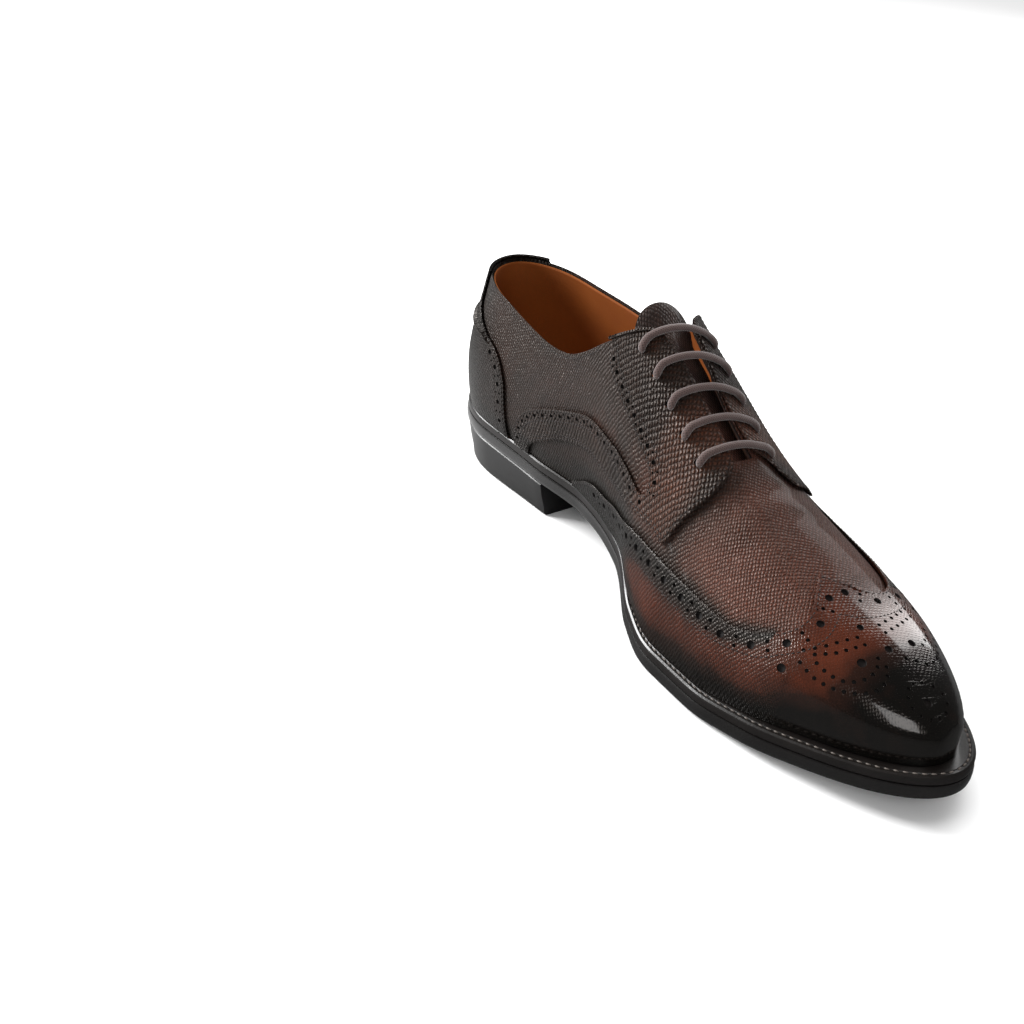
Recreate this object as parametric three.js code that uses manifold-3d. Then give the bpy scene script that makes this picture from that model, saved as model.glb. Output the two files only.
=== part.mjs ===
// Left wing-tip brogue derby shoe, millimetres. Toe at -Y, outer side at +X, floor at z = 0.
// Every leather layer is a patch of one last surface, taken between two distances from it.
import * as THREE from "three";
import { mergeVertices } from "three/addons/utils/BufferGeometryUtils.js";
import Module from "manifold-3d";

const wasm = await Module();
wasm.setup();

// Overall sizes
const SHOE_LENGTH = 312; // sole, heel to toe
const BALL_WIDTH = 106; // sole, across the ball
const INSTEP_HEIGHT = 127; // crest of the last over the floor
const COLLAR_HEIGHT = 93.5; // top of the back seam over the floor
const HEEL_HEIGHT = 20.2; // underside of the outsole at the back of the heel
const TOE_SPRING = 12; // underside of the outsole at the toe
const HEEL_LENGTH = 84;

// Material thicknesses and clearances
const SOLE_THICKNESS = 6.5;
const WELT_THICKNESS = 3.5;
const INSOLE_RISE = 1.2; // insole above the upper's foot line
const UPPER_WALL = 2.2;
const OVERLAY_WALL = 1.3;
const TONGUE_WALL = 1.8;
const SKIN = 1.2; // the last is this far below the outside that its table gives
const GAP = 0.35; // between pieces that lie on each other

// Sole and heel details
const HEEL_MARGIN = 2; // sole beyond the upper, at the back
const TOE_MARGIN = 9; // sole beyond the upper, at the toe
const WELT_INSET = 0.5; // welt edge inside the sole edge
const WELT_BEVEL = 1.1;
const SOLE_BEVEL = 1.2;
const HEEL_TAPER = 3.4; // heel block narrower at the floor
const HEEL_CAP = 0.13; // share of the upper's length in the round heel
const TOE_CAP = 0.21; // share of the upper's length in the round toe
const TOE_BLUNTNESS = 0.445;

// Lacing
const LACE_DIAMETER = 3;
const EYELET_DIAMETER = 4.6;
const EYELET_PITCH = 10.4;
const EYELET_COUNT = 5;
const EYELET_SPREAD = 31;
const LACING_CENTRE = -5.8;
const SLOT_CENTRE = -4.6;
const SLOT_WIDTH = 9;
const THROAT_SHARE = 0.61;
const LACE_ARCH = -0.4;

const LACE_BELOW = -(UPPER_WALL + LACE_DIAMETER / 2 + 0.6);

const HALF = BALL_WIDTH / 2;
const UPPER_BACK = SHOE_LENGTH / 2 - HEEL_MARGIN - SKIN;
const UPPER_FRONT = -SHOE_LENGTH / 2 + TOE_MARGIN;
const FOOT_RISE = SOLE_THICKNESS + WELT_THICKNESS + 2 * GAP;

// Tables: each is a list of rows, and column() turns one of its columns into a smooth curve.
function column(table, name) {
  const { columns, rows } = table;
  const k = columns.indexOf(name);
  const xs = rows.map((row) => row[0]);
  const ys = rows.map((row) => row[k]);
  const n = xs.length;
  const step = xs.slice(1).map((x, i) => x - xs[i]);
  const slope = step.map((h, i) => (ys[i + 1] - ys[i]) / h);
  const tangent = xs.map((_, i) => {
    if (i === 0) return slope[0];
    if (i === n - 1) return slope[n - 2];
    if (slope[i - 1] * slope[i] <= 0) return 0;
    const w1 = 2 * step[i] + step[i - 1];
    const w2 = step[i] + 2 * step[i - 1];
    return (w1 + w2) / (w1 / slope[i - 1] + w2 / slope[i]);
  });
  return (x) => {
    const c = Math.min(Math.max(x, xs[0]), xs[n - 1]);
    let i = 0;
    while (i < n - 2 && c >= xs[i + 1]) i += 1;
    const h = step[i];
    const s = (c - xs[i]) / h;
    const a = (2 * s ** 3 - 3 * s ** 2 + 1) * ys[i] + (s ** 3 - 2 * s ** 2 + s) * h * tangent[i];
    const b = (3 * s ** 2 - 2 * s ** 3) * ys[i + 1] + (s ** 3 - s ** 2) * h * tangent[i + 1];
    return a + b;
  };
}

function curves(table) {
  const out = {};
  for (const name of table.columns.slice(1)) out[name] = column(table, name);
  return out;
}

// Sections of the last. share: along the upper from heel to toe. Widths are shares of half the ball
// width, top is a share of the instep height, lift is a share of the section's height.
// foot: half width at the sole, side: bulge of the wall, roof: shoulder below the crest.
const LAST = curves({
  columns: ["share", "centre", "top", "ridge", "footIn", "sideIn", "roofIn", "footOut", "sideOut", "roofOut", "lift"],
  rows: [
    [0.0, -0.057, 0.961, -0.026, 0.604, 0.698, 0.462, 0.604, 0.64, 0.36, 0.22],
    [0.12, -0.028, 0.945, -0.032, 0.604, 0.698, 0.5, 0.642, 0.66, 0.43, 0.2],
    [0.25, 0.0, 0.984, -0.07, 0.566, 0.66, 0.557, 0.698, 0.708, 0.528, 0.27],
    [0.36, 0.0, 0.997, -0.1, 0.462, 0.632, 0.575, 0.764, 0.774, 0.555, 0.36],
    [0.46, 0.0, 0.888, -0.12, 0.509, 0.726, 0.585, 0.849, 0.858, 0.435, 0.4],
    [0.56, 0.0, 0.704, -0.105, 0.755, 0.887, 0.545, 0.953, 0.934, 0.385, 0.42],
    [0.64, 0.0, 0.585, -0.105, 0.868, 0.97, 0.49, 0.934, 0.962, 0.39, 0.48],
    [0.72, -0.006, 0.485, -0.09, 0.858, 0.953, 0.519, 0.84, 0.934, 0.46, 0.58],
    [0.8, -0.015, 0.41, -0.065, 0.764, 0.849, 0.5, 0.708, 0.84, 0.51, 0.67],
    [0.88, -0.028, 0.378, -0.055, 0.642, 0.717, 0.425, 0.594, 0.736, 0.48, 0.71],
    [1.0, -0.057, 0.335, -0.05, 0.519, 0.604, 0.358, 0.509, 0.623, 0.415, 0.71],
  ],
});

// Underside of the sole. share: along the sole from heel to toe, heel: share of the heel height,
// spring: share of the toe spring. Both are nothing between 0.61 and 0.70, where the ball rests.
const GROUND = curves({
  columns: ["share", "heel", "spring"],
  rows: [
    [0.0, 1.0, 0],
    [0.12, 0.955, 0],
    [0.25, 0.871, 0],
    [0.36, 0.733, 0],
    [0.44, 0.535, 0],
    [0.5, 0.31, 0],
    [0.55, 0.135, 0],
    [0.58, 0.05, 0],
    [0.61, 0, 0],
    [0.7, 0, 0],
    [0.78, 0, 0.15],
    [0.86, 0, 0.4],
    [0.93, 0, 0.67],
    [1.0, 0, 1.0],
  ],
});

// Sole edge beyond the upper's foot line, millimetres, on the inner and the outer side.
const MARGIN = curves({
  columns: ["share", "inner", "outer"],
  rows: [
    [0.0, 1.8, 1.8],
    [0.25, 0.6, 1.8],
    [0.4, 0.5, 2.2],
    [0.5, 2.8, 3.4],
    [0.6, 4.2, 4.6],
    [0.75, 4.0, 5.4],
    [0.88, 4.4, 5.4],
    [1.0, 5.0, 5.4],
  ],
});

// Top line of the collar: height as a share of the collar height.
const COLLAR = curves({
  columns: ["share", "height"],
  rows: [
    [0.0, 1.0],
    [0.06, 0.994],
    [0.12, 0.978],
    [0.2, 0.95],
    [0.27, 0.93],
    [0.31, 0.945],
    [0.354, 1.016],
    [0.388, 1.1],
    [0.42, 1.172],
    [0.45, 1.224],
    [0.48, 1.36],
  ],
});

// Half width of the lacing slot as a share of half the slot width.
const SLOT = curves({
  columns: ["share", "half"],
  rows: [
    [0.44, 2.0],
    [0.48, 1.5],
    [0.52, 1.05],
    [0.57, 0.95],
    [0.61, 1.05],
  ],
});

// Back seam: how far it stands behind the heel's end, against its height on the last.
const BACK = curves({
  columns: ["height", "behind"],
  rows: [
    [0.0, -0.9],
    [0.25, 2.0],
    [0.6, -4.4],
    [1.0, -8.8],
  ],
});

// Wing cap: points of its top edge (share, girth) and where the line from each meets the sole.
// girth runs over the last from 0 at the inner sole edge to 1 at the outer one.
const WING_INNER = [
  [0.338, 0.012, 0.338],
  [0.382, 0.048, 0.4],
  [0.45, 0.077, 0.46],
  [0.5, 0.112, 0.52],
  [0.556, 0.16, 0.58],
  [0.608, 0.185, 0.635],
  [0.66, 0.196, 0.685],
  [0.718, 0.208, 0.735],
  [0.754, 0.218, 0.775],
  [0.782, 0.25, 0.815],
  [0.802, 0.3, 0.855],
  [0.81, 0.36, 0.9],
  [0.804, 0.41, 0.94],
  [0.786, 0.455, 0.97],
  [0.767, 0.5, 1.0],
];
const WING_OUTER = [
  [0.36, 0.012, 0.36],
  [0.4, 0.07, 0.415],
  [0.436, 0.105, 0.46],
  [0.472, 0.125, 0.5],
  [0.522, 0.152, 0.55],
  [0.57, 0.176, 0.6],
  [0.62, 0.185, 0.65],
  [0.68, 0.198, 0.7],
  [0.73, 0.222, 0.755],
  [0.772, 0.265, 0.81],
  [0.8, 0.32, 0.86],
  [0.81, 0.38, 0.905],
  [0.804, 0.42, 0.94],
  [0.786, 0.46, 0.97],
  [0.767, 0.5, 1.0],
];

// Facing and its lower band: outer edge (share, girth) and inner edge along the quarter (share, girth).
// It starts above the top line and beyond the slot, where the layer itself ends.
const FACING = [
  [0.4, 0.54, 0.34, 0.4],
  [0.44, 0.54, 0.388, 0.33],
  [0.48, 0.54, 0.42, 0.298],
  [0.51, 0.54, 0.445, 0.288],
  [0.54, 0.54, 0.465, 0.282],
  [0.57, 0.54, 0.485, 0.28],
  [0.6, 0.52, 0.505, 0.279],
  [0.614, 0.48, 0.522, 0.278],
  [0.624, 0.43, 0.534, 0.276],
  [0.628, 0.37, 0.543, 0.27],
  [0.624, 0.32, 0.549, 0.26],
  [0.618, 0.263, 0.552, 0.248],
  [0.612, 0.214, 0.551, 0.235],
  [0.582, 0.206, 0.544, 0.225],
  [0.556, 0.192, 0.53, 0.22],
  [0.525, 0.168, 0.508, 0.215],
  [0.48, 0.138, 0.475, 0.205],
  [0.434, 0.122, 0.434, 0.192],
  [0.392, 0.113, 0.392, 0.178],
  [0.35, 0.1, 0.34, 0.158],
  [0.31, 0.084, 0.295, 0.142],
  [0.28, 0.064, 0.255, 0.124],
  [0.26, 0.05, 0.23, 0.104],
  [0.246, 0.03, 0.213, 0.07],
  [0.24, -0.02, 0.204, -0.02],
];

// Heel counter: how far it reaches forward at each girth.
const COUNTER = curves({
  columns: ["girth", "share"],
  rows: [
    [0.0, 0.19],
    [0.08, 0.184],
    [0.13, 0.18],
    [0.17, 0.166],
    [0.2, 0.14],
    [0.225, 0.085],
    [0.25, 0.05],
    [0.36, 0.036],
  ],
});

function ground(y) {
  const share = (SHOE_LENGTH / 2 - y) / SHOE_LENGTH;
  return HEEL_HEIGHT * GROUND.heel(share) + TOE_SPRING * GROUND.spring(share);
}

function cap(share) {
  const heel = Math.max(HEEL_CAP - share, 0) / HEEL_CAP;
  const toe = Math.max(share - (1 - TOE_CAP), 0) / TOE_CAP;
  const round = (q) => (q > 0.9999999 ? 0 : Math.sqrt(1 - q ** 2));
  return { heel: round(heel), toe: round(toe) };
}

// Point of the last at a share of its length and of its girth, `out` millimetres off its surface.
function last(share, girth, out = 0) {
  const inner = girth < 0.5;
  const side = inner ? -1 : 1;
  const u = inner ? 2 * girth : 2 - 2 * girth;
  const { heel, toe } = cap(share);
  const end = heel * toe;
  const foot = (inner ? LAST.footIn : LAST.footOut)(share) * HALF + out - SKIN;
  const bulge = (inner ? LAST.sideIn : LAST.sideOut)(share) * HALF + out - SKIN;
  const roof = (inner ? LAST.roofIn : LAST.roofOut)(share) * HALF + out - SKIN;
  const ridge = LAST.ridge(share) * HALF * end;
  const along = UPPER_BACK + out - (UPPER_BACK - UPPER_FRONT + 2 * out) * share;
  const base = ground(along) + FOOT_RISE;
  const top = LAST.top(share) * INSTEP_HEIGHT;
  const height = (top + out - SKIN - base) * toe ** TOE_BLUNTNESS;
  const b0 = (1 - u) ** 3;
  const b1 = 3 * u * (1 - u) ** 2;
  const b2 = 3 * u ** 2 * (1 - u);
  const b3 = u ** 3;
  const rise = height * (b1 * LAST.lift(share) + b2 + b3);
  const fade = Math.max(1 - share / (2.2 * HEEL_CAP), 0) ** 2;
  const behind = BACK.behind(rise / Math.max(top - base, 1)) * fade;
  return new THREE.Vector3(
    side * end * (b0 * foot + b1 * bulge + b2 * roof) + ridge * (b2 + b3) + LAST.centre(share) * HALF,
    along + behind,
    base + rise,
  );
}

function bisect(low, high, test) {
  let a = low;
  let b = high;
  for (let i = 0; i < 40; i += 1) {
    const m = (a + b) / 2;
    if (test(m)) a = m;
    else b = m;
  }
  return (a + b) / 2;
}

// Girth where the last reaches a height, and girth over the instep where it reaches an x.
const girthAtHeight = (share, z, side) => {
  const at = (u) => (side < 0 ? u : 1 - u);
  return at(bisect(0, 0.5, (u) => last(share, at(u)).z < z));
};
const girthAtX = (share, x) => bisect(0.3, 0.7, (g) => last(share, g).x < x);
const shareAtY = (y) => (UPPER_BACK - y) / (UPPER_BACK - UPPER_FRONT);

// Edge of the opening on one side: the collar's top line, then the lacing slot.
function openEdge(share, side) {
  const collar = girthAtHeight(share, COLLAR.height(share) * COLLAR_HEIGHT, side);
  const slot = girthAtX(share, SLOT_CENTRE + side * SLOT.half(share) * SLOT_WIDTH / 2);
  return side < 0 ? Math.min(collar, slot) : Math.max(collar, slot);
}

const lerp = (a, b, f) => a + (b - a) * f;
const range = (n) => Array.from({ length: n + 1 }, (_, i) => i / n);

// Length along the last with the round toe unrolled, and back: even steps there turn evenly.
const TOE_START = 1 - TOE_CAP;
const unroll = (share) => (share < TOE_START ? share : TOE_START + TOE_CAP * Math.asin((share - TOE_START) / TOE_CAP));
const roll = (a) => (a < TOE_START ? a : TOE_START + TOE_CAP * Math.sin((a - TOE_START) / TOE_CAP));

// Lengthwise stations, closer together where the heel and the toe turn.
const capSteps = (n, size) => range(n).map((f) => size * (1 - Math.cos(f * Math.PI / 2)));
function stations(heelSteps, bodySteps, toeSteps) {
  const heel = capSteps(heelSteps, HEEL_CAP);
  const body = range(bodySteps).slice(1, -1).map((f) => lerp(HEEL_CAP, 1 - TOE_CAP, f));
  const toe = capSteps(toeSteps, TOE_CAP).map((s) => 1 - s).reverse();
  return [...heel, ...body, ...toe];
}

// The stations that all the layers share, with the throat and both ends of the flat tread among them
const SHARES = stations(6, 18, 8);
for (const fixed of [THROAT_SHARE, 0.7]) {
  const near = SHARES.reduce((a, b) => (Math.abs(b - fixed) < Math.abs(a - fixed) ? b : a));
  SHARES[SHARES.indexOf(near)] = fixed;
}

function solidMesh(positions, triangles) {
  let geometry = new THREE.BufferGeometry();
  geometry.setAttribute("position", new THREE.Float32BufferAttribute(positions, 3));
  geometry.setIndex(triangles);
  geometry = mergeVertices(geometry, 1e-3);
  const index = Array.from(geometry.index.array);
  const kept = [];
  for (let i = 0; i < index.length; i += 3) {
    const [a, b, c] = index.slice(i, i + 3);
    if (a !== b && b !== c && c !== a) kept.push(a, b, c);
  }
  geometry.setIndex(kept);
  if (volume(geometry) < 0) {
    for (let i = 0; i < kept.length; i += 3) [kept[i], kept[i + 1]] = [kept[i + 1], kept[i]];
    geometry.setIndex(kept);
  }
  return geometry;
}

function volume(geometry) {
  const p = geometry.getAttribute("position");
  const index = geometry.index.array;
  const [a, b, c] = [new THREE.Vector3(), new THREE.Vector3(), new THREE.Vector3()];
  let sum = 0;
  for (let i = 0; i < index.length; i += 3) {
    a.fromBufferAttribute(p, index[i]);
    b.fromBufferAttribute(p, index[i + 1]);
    c.fromBufferAttribute(p, index[i + 2]);
    sum += a.dot(b.cross(c)) / 6;
  }
  return sum;
}

// A sheet given by grid points on both faces becomes a closed solid: both faces and their rims.
function sheetSolid(outer, inner, open = () => false) {
  const rows = outer.length;
  const cols = outer[0].length;
  const id = (i, j) => i * cols + j;
  const points = outer.flat();
  const names = new Map();
  const weld = points.map((p, k) => {
    const key = [p.x, p.y, p.z].map((x) => Math.round(x * 500)).join(",");
    if (!names.has(key)) names.set(key, k);
    return names.get(key);
  });
  const faces = [];
  const face = (a, b, c) => {
    const f = [weld[a], weld[b], weld[c]];
    if (f[0] !== f[1] && f[1] !== f[2] && f[2] !== f[0]) faces.push(f);
  };
  for (let i = 0; i < rows - 1; i += 1) {
    for (let j = 0; j < cols - 1; j += 1) {
      if (open(i, j)) continue;
      face(id(i, j), id(i + 1, j), id(i + 1, j + 1));
      face(id(i, j), id(i + 1, j + 1), id(i, j + 1));
    }
  }
  const count = points.length;
  const positions = [...points, ...inner.flat()].flatMap((p) => [p.x, p.y, p.z]);
  const triangles = [];
  const edges = new Set(faces.flatMap(([a, b, c]) => [[a, b], [b, c], [c, a]].map((e) => e.join())));
  for (const [a, b, c] of faces) {
    triangles.push(a, b, c, count + a, count + c, count + b);
    for (const [p, q] of [[a, b], [b, c], [c, a]]) {
      if (!edges.has([q, p].join())) triangles.push(q, p, count + p, q, count + p, count + q);
    }
  }
  return solidMesh(positions, triangles);
}

// A patch of the last between two distances from it, from a grid of (share, girth, shift) rows:
// shift moves a point off the patch's own distance, and is left out where it is nothing.
function leather(grid, outside, thickness, open) {
  const at = (out) => grid.map((row) => row.map(([share, girth, shift = 0]) => last(share, girth, out + shift)));
  return sheetSolid(at(outside), at(outside - thickness), open);
}

// A loop of points at each station, closed at both ends: a loop that has folded flat needs no lid.
function loft(loops) {
  const n = loops[0].length;
  const positions = loops.flat().flatMap((p) => [p.x, p.y, p.z]);
  const triangles = [];
  for (let i = 0; i < loops.length - 1; i += 1) {
    for (let j = 0; j < n; j += 1) {
      const a = i * n + j;
      const b = i * n + (j + 1) % n;
      triangles.push(a, b, b + n, a, b + n, a + n);
    }
  }
  const lid = (k, flip) => {
    if (loops[k][0].distanceTo(loops[k][n - 1]) < 1e-3) return;
    for (let j = 1; j < n - 1; j += 1) {
      const t = [k * n, k * n + j, k * n + j + 1];
      triangles.push(...(flip ? t.reverse() : t));
    }
  };
  lid(0, true);
  lid(loops.length - 1, false);
  return solidMesh(positions, triangles);
}

// Booleans
function toManifold(geometry) {
  const bare = new THREE.BufferGeometry();
  bare.setAttribute("position", geometry.getAttribute("position"));
  if (geometry.index) bare.setIndex(geometry.index);
  const merged = mergeVertices(bare, 1e-4);
  return new wasm.Manifold(new wasm.Mesh({
    numProp: 3,
    vertProperties: new Float32Array(merged.getAttribute("position").array),
    triVerts: new Uint32Array(merged.index.array),
  }));
}

function fromManifold(manifold) {
  const mesh = manifold.getMesh();
  const geometry = new THREE.BufferGeometry();
  geometry.setAttribute("position", new THREE.BufferAttribute(new Float32Array(mesh.vertProperties), 3));
  geometry.setIndex(Array.from(mesh.triVerts));
  return geometry;
}

function cut(geometry, tools) {
  let body = toManifold(geometry);
  for (const tool of tools) body = body.subtract(toManifold(tool));
  return fromManifold(body);
}

function join(geometries) {
  return fromManifold(geometries.map(toManifold).reduce((a, b) => a.add(b)));
}

// Upper: one sheet over the whole last, open at the collar and down the lacing slot
function upperGrid() {
  const throat = SHARES.indexOf(THROAT_SHARE);
  const columns = 9;
  const grid = SHARES.map((share) => {
    const limit = (side) => openEdge(Math.min(share, THROAT_SHARE), side);
    const inner = range(columns).map((f) => [share, f * limit(-1)]);
    const outer = range(columns).map((f) => [share, 1 - f * (1 - limit(1))]).reverse();
    return [...inner, ...outer];
  });
  return { grid, open: (i, j) => j === columns && i < throat };
}

// Half width of the sole at a share of the last, `inset` millimetres inside its edge.
function soleEdge(share, side, inset) {
  const { heel, toe } = cap(share);
  const foot = (side < 0 ? LAST.footIn : LAST.footOut)(share) * HALF;
  const margin = (side < 0 ? MARGIN.inner : MARGIN.outer)(share);
  const x = LAST.centre(share) * HALF + side * heel * toe * (foot + margin - inset);
  const y = SHOE_LENGTH / 2 - inset - (SHOE_LENGTH - 2 * inset) * share;
  return { x, y };
}

// Point at the upper's foot line, `out` millimetres outside it.
function footEdge(share, side, out) {
  return last(share, side < 0 ? 0 : 1, out);
}

const raised = ({ x, y }, above) => new THREE.Vector3(x, y, ground(y) + above);

function outsole() {
  const profile = [
    [SOLE_BEVEL, 0],
    [0, SOLE_BEVEL],
    [0, SOLE_THICKNESS - 0.5],
    [0.5, SOLE_THICKNESS],
  ];
  return loft(SHARES.map((share) => [
    ...profile.map(([inset, above]) => raised(soleEdge(share, -1, inset), above)),
    ...profile.map(([inset, above]) => raised(soleEdge(share, 1, inset), above)).reverse(),
  ]));
}

function welt() {
  const base = SOLE_THICKNESS + GAP;
  const top = base + WELT_THICKNESS;
  const section = (share, side) => [
    raised(footEdge(share, side, -UPPER_WALL), base),
    raised(soleEdge(share, side, WELT_INSET), base),
    raised(soleEdge(share, side, WELT_INSET), top - WELT_BEVEL),
    raised(soleEdge(share, side, WELT_INSET + WELT_BEVEL), top),
    raised(footEdge(share, side, -UPPER_WALL), top),
  ];
  const inner = SHARES.map((share) => section(share, -1));
  const outer = SHARES.map((share) => section(share, 1)).reverse();
  const rings = [...inner, ...outer.slice(1, -1)];
  const n = rings[0].length;
  const positions = rings.flat().flatMap((p) => [p.x, p.y, p.z]);
  const triangles = [];
  for (let i = 0; i < rings.length; i += 1) {
    const next = (i + 1) % rings.length;
    for (let j = 0; j < n; j += 1) {
      const k = (j + 1) % n;
      triangles.push(i * n + j, i * n + k, next * n + k, i * n + j, next * n + k, next * n + j);
    }
  }
  return solidMesh(positions, triangles);
}

function insole() {
  const bottom = SOLE_THICKNESS + GAP;
  const top = FOOT_RISE + INSOLE_RISE;
  const reach = -UPPER_WALL - 0.45;
  return loft(SHARES.map((share) => [
    raised(footEdge(share, -1, reach), bottom),
    raised(footEdge(share, -1, reach), top),
    raised(footEdge(share, 1, reach), top),
    raised(footEdge(share, 1, reach), bottom),
  ]));
}

function heelBlock() {
  const breast = HEEL_LENGTH / SHOE_LENGTH;
  const shares = [...capSteps(7, HEEL_CAP), lerp(HEEL_CAP, breast, 0.5), breast];
  const levels = [
    [HEEL_TAPER, 0],
    [HEEL_TAPER * 0.62, 0.4],
    [0.8, 1],
  ];
  return loft(shares.map((share) => {
    const side = (s) => levels.map(([inset, f]) => {
      const { x, y } = soleEdge(share, s, inset);
      return new THREE.Vector3(x, y, f * (ground(y) - GAP));
    });
    return [...side(-1), ...side(1).reverse()];
  }));
}

// Tongue: below the hidden lace runs, rising to where it is sewn under the vamp
function tongue() {
  const deep = (UPPER_WALL + LACE_DIAMETER + 1.2) / 0.86;
  const sewn = UPPER_WALL + GAP + 0.15;
  const grid = range(13).map((f) => {
    const share = lerp(0.415, 0.685, f);
    const spread = lerp(0.12, 0.1, f);
    const middle = girthAtX(share, LACING_CENTRE + 1.5);
    const rise = THREE.MathUtils.smoothstep(share, 0.625, 0.668) * (deep - sewn);
    return range(9).map((g) => [share, middle + (2 * g - 1) * spread, rise]);
  });
  return leather(grid, -deep, TONGUE_WALL);
}

// Overlays: the upper's own sheet taken further out, then cut to the panel's outline
function overlay(from, to) {
  const { grid, open } = upperGrid();
  const first = SHARES.findIndex((share) => share >= from);
  const end = SHARES.findIndex((share) => share >= to);
  const rows = grid.slice(first, end + 1);
  return leather(rows, GAP + OVERLAY_WALL, OVERLAY_WALL, (i, j) => open(i + first, j));
}

// A thick patch over the same surface, from a grid of (share, girth) pairs, to cut an overlay with
const cutter = (grid) => toManifold(leather(grid, 7, 12));

function wingCap() {
  const behind = (rows, flip) => rows.map(([share, girth]) => range(8).map((f) => {
    const g = lerp(girth, 0.5, f);
    return [lerp(share, 0.3, f), flip ? 1 - g : g];
  }));
  const tails = [[0.3, -0.03], ...WING_INNER];
  const above = [...behind(tails, false), ...behind([...WING_OUTER.slice(0, -1)].reverse(), true)];
  above.push(...behind([[0.3, -0.03]], true));
  return fromManifold(toManifold(overlay(0.32, 1)).subtract(cutter(above)));
}

function heelCounter() {
  const grid = range(12).map((f) => {
    const girth = lerp(-0.03, 0.36, f);
    const reach = COUNTER.share(girth);
    const turn = range(6).slice(1).map((g) => reach * (1 - Math.cos(g * Math.PI / 2)));
    return [...turn.map((t) => [t, girth]).reverse(), [0, girth], ...turn.map((t) => [t, 1 - girth])];
  });
  return fromManifold(toManifold(overlay(0, 0.22)).intersect(cutter(grid)));
}

function facing(side) {
  // The slot lies to the outer side of the crest, so that facing is the narrower one.
  const mirror = (girth) => 1 - (girth < 0.3 ? girth : lerp(0.3, girth, 0.65));
  const grid = FACING.map(([share, girth, share2, girth2]) => range(3).map((f) => {
    const g = lerp(girth, girth2, f);
    return [lerp(share, share2, f), side < 0 ? g : mirror(g)];
  }));
  return fromManifold(toManifold(overlay(0.18, 0.7)).intersect(cutter(grid)));
}

// Eyelets and laces
function eyelet(row, side) {
  const y = 17.5 - row * EYELET_PITCH - (side > 0 ? 4 : 0);
  const share = shareAtY(y);
  const girth = girthAtX(share, LACING_CENTRE + side * EYELET_SPREAD / 2);
  const point = last(share, girth);
  const along = last(share + 0.004, girth).sub(last(share - 0.004, girth));
  const across = last(share, girth + 0.004).sub(last(share, girth - 0.004));
  const normal = along.cross(across).normalize();
  if (normal.z < 0) normal.negate();
  return { point, normal, share, girth };
}

function eyeletCutter({ point, normal }) {
  const tool = new THREE.CylinderGeometry(EYELET_DIAMETER / 2, EYELET_DIAMETER / 2, 16, 12);
  const turn = new THREE.Quaternion().setFromUnitVectors(new THREE.Vector3(0, 1, 0), normal);
  tool.applyQuaternion(turn);
  tool.translate(point.x, point.y, point.z);
  return tool;
}

const rows = range(EYELET_COUNT - 1).map((f) => Math.round(f * (EYELET_COUNT - 1)));
const eyelets = rows.map((row) => [eyelet(row, -1), eyelet(row, 1)]);
const cutters = eyelets.flat().map(eyeletCutter);

const laceSection = () => {
  const shape = new THREE.Shape();
  const r = LACE_DIAMETER / 2;
  for (let i = 0; i < 8; i += 1) {
    const a = i * Math.PI / 4;
    if (i === 0) shape.moveTo(r, 0);
    else shape.lineTo(r * Math.cos(a), r * Math.sin(a));
  }
  shape.closePath();
  return shape;
};

const tube = (curve, steps) => new THREE.ExtrudeGeometry(laceSection(), { steps, extrudePath: curve });

// One bar: up through one eyelet, over the facings and the slot and down through the other.
function laceBar([inner, outer]) {
  const above = GAP + OVERLAY_WALL + LACE_DIAMETER / 2 + 0.4;
  const off = (eye, d) => eye.point.clone().addScaledVector(eye.normal, d);
  const over = [0.12, 0.25, 0.37, 0.5, 0.63, 0.75, 0.88].map((f) => {
    const x = lerp(inner.point.x, outer.point.x, f);
    const share = lerp(inner.share, outer.share, f);
    return last(share, girthAtX(share, x), above / 0.86 + LACE_ARCH * Math.sin(f * Math.PI));
  });
  const path = new THREE.CurvePath();
  const [first, end] = [over[0], over.at(-1)];
  path.add(new THREE.LineCurve3(off(inner, LACE_BELOW), off(inner, above - 2.2)));
  path.add(new THREE.QuadraticBezierCurve3(off(inner, above - 2.2), off(inner, above + 0.9), first));
  path.add(new THREE.CatmullRomCurve3(over));
  path.add(new THREE.QuadraticBezierCurve3(end, off(outer, above + 0.9), off(outer, above - 2.2)));
  path.add(new THREE.LineCurve3(off(outer, above - 2.2), off(outer, LACE_BELOW)));
  return tube(path, 18);
}

// Hidden runs between the facing and the tongue, outer and inner side in turn.
function laceRun(row) {
  const k = row % 2 === 0 ? 1 : 0;
  const off = (eye) => eye.point.clone().addScaledVector(eye.normal, LACE_BELOW);
  const [a, b] = [off(eyelets[row][k]), off(eyelets[row + 1][k])];
  const along = b.clone().sub(a).normalize();
  return tube(new THREE.LineCurve3(a.addScaledVector(along, -0.6), b.addScaledVector(along, 0.6)), 1);
}

const upper = upperGrid();
const pieces = {
  outsole: outsole(),
  heel: heelBlock(),
  welt: welt(),
  insole: insole(),
  upper: cut(leather(upper.grid, 0, UPPER_WALL, upper.open), cutters),
  tongue: tongue(),
  wing_cap: wingCap(),
  heel_counter: heelCounter(),
  facing_inner: cut(facing(-1), cutters),
  facing_outer: cut(facing(1), cutters),
  laces: join([...eyelets.map(laceBar), ...rows.slice(0, -1).map(laceRun)]),
};

const looks = {
  outsole: ["#1b1716", 0.45],
  heel: ["#171413", 0.35],
  welt: ["#1a1514", 0.5],
  insole: ["#9a5a2c", 0.6],
  upper: ["#4a2a20", 0.35],
  tongue: ["#33201b", 0.5],
  wing_cap: ["#33201b", 0.25],
  heel_counter: ["#2c1f1b", 0.35],
  facing_inner: ["#3c2720", 0.4],
  facing_outer: ["#3c2720", 0.4],
  laces: ["#3a2c28", 0.85],
};

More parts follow.
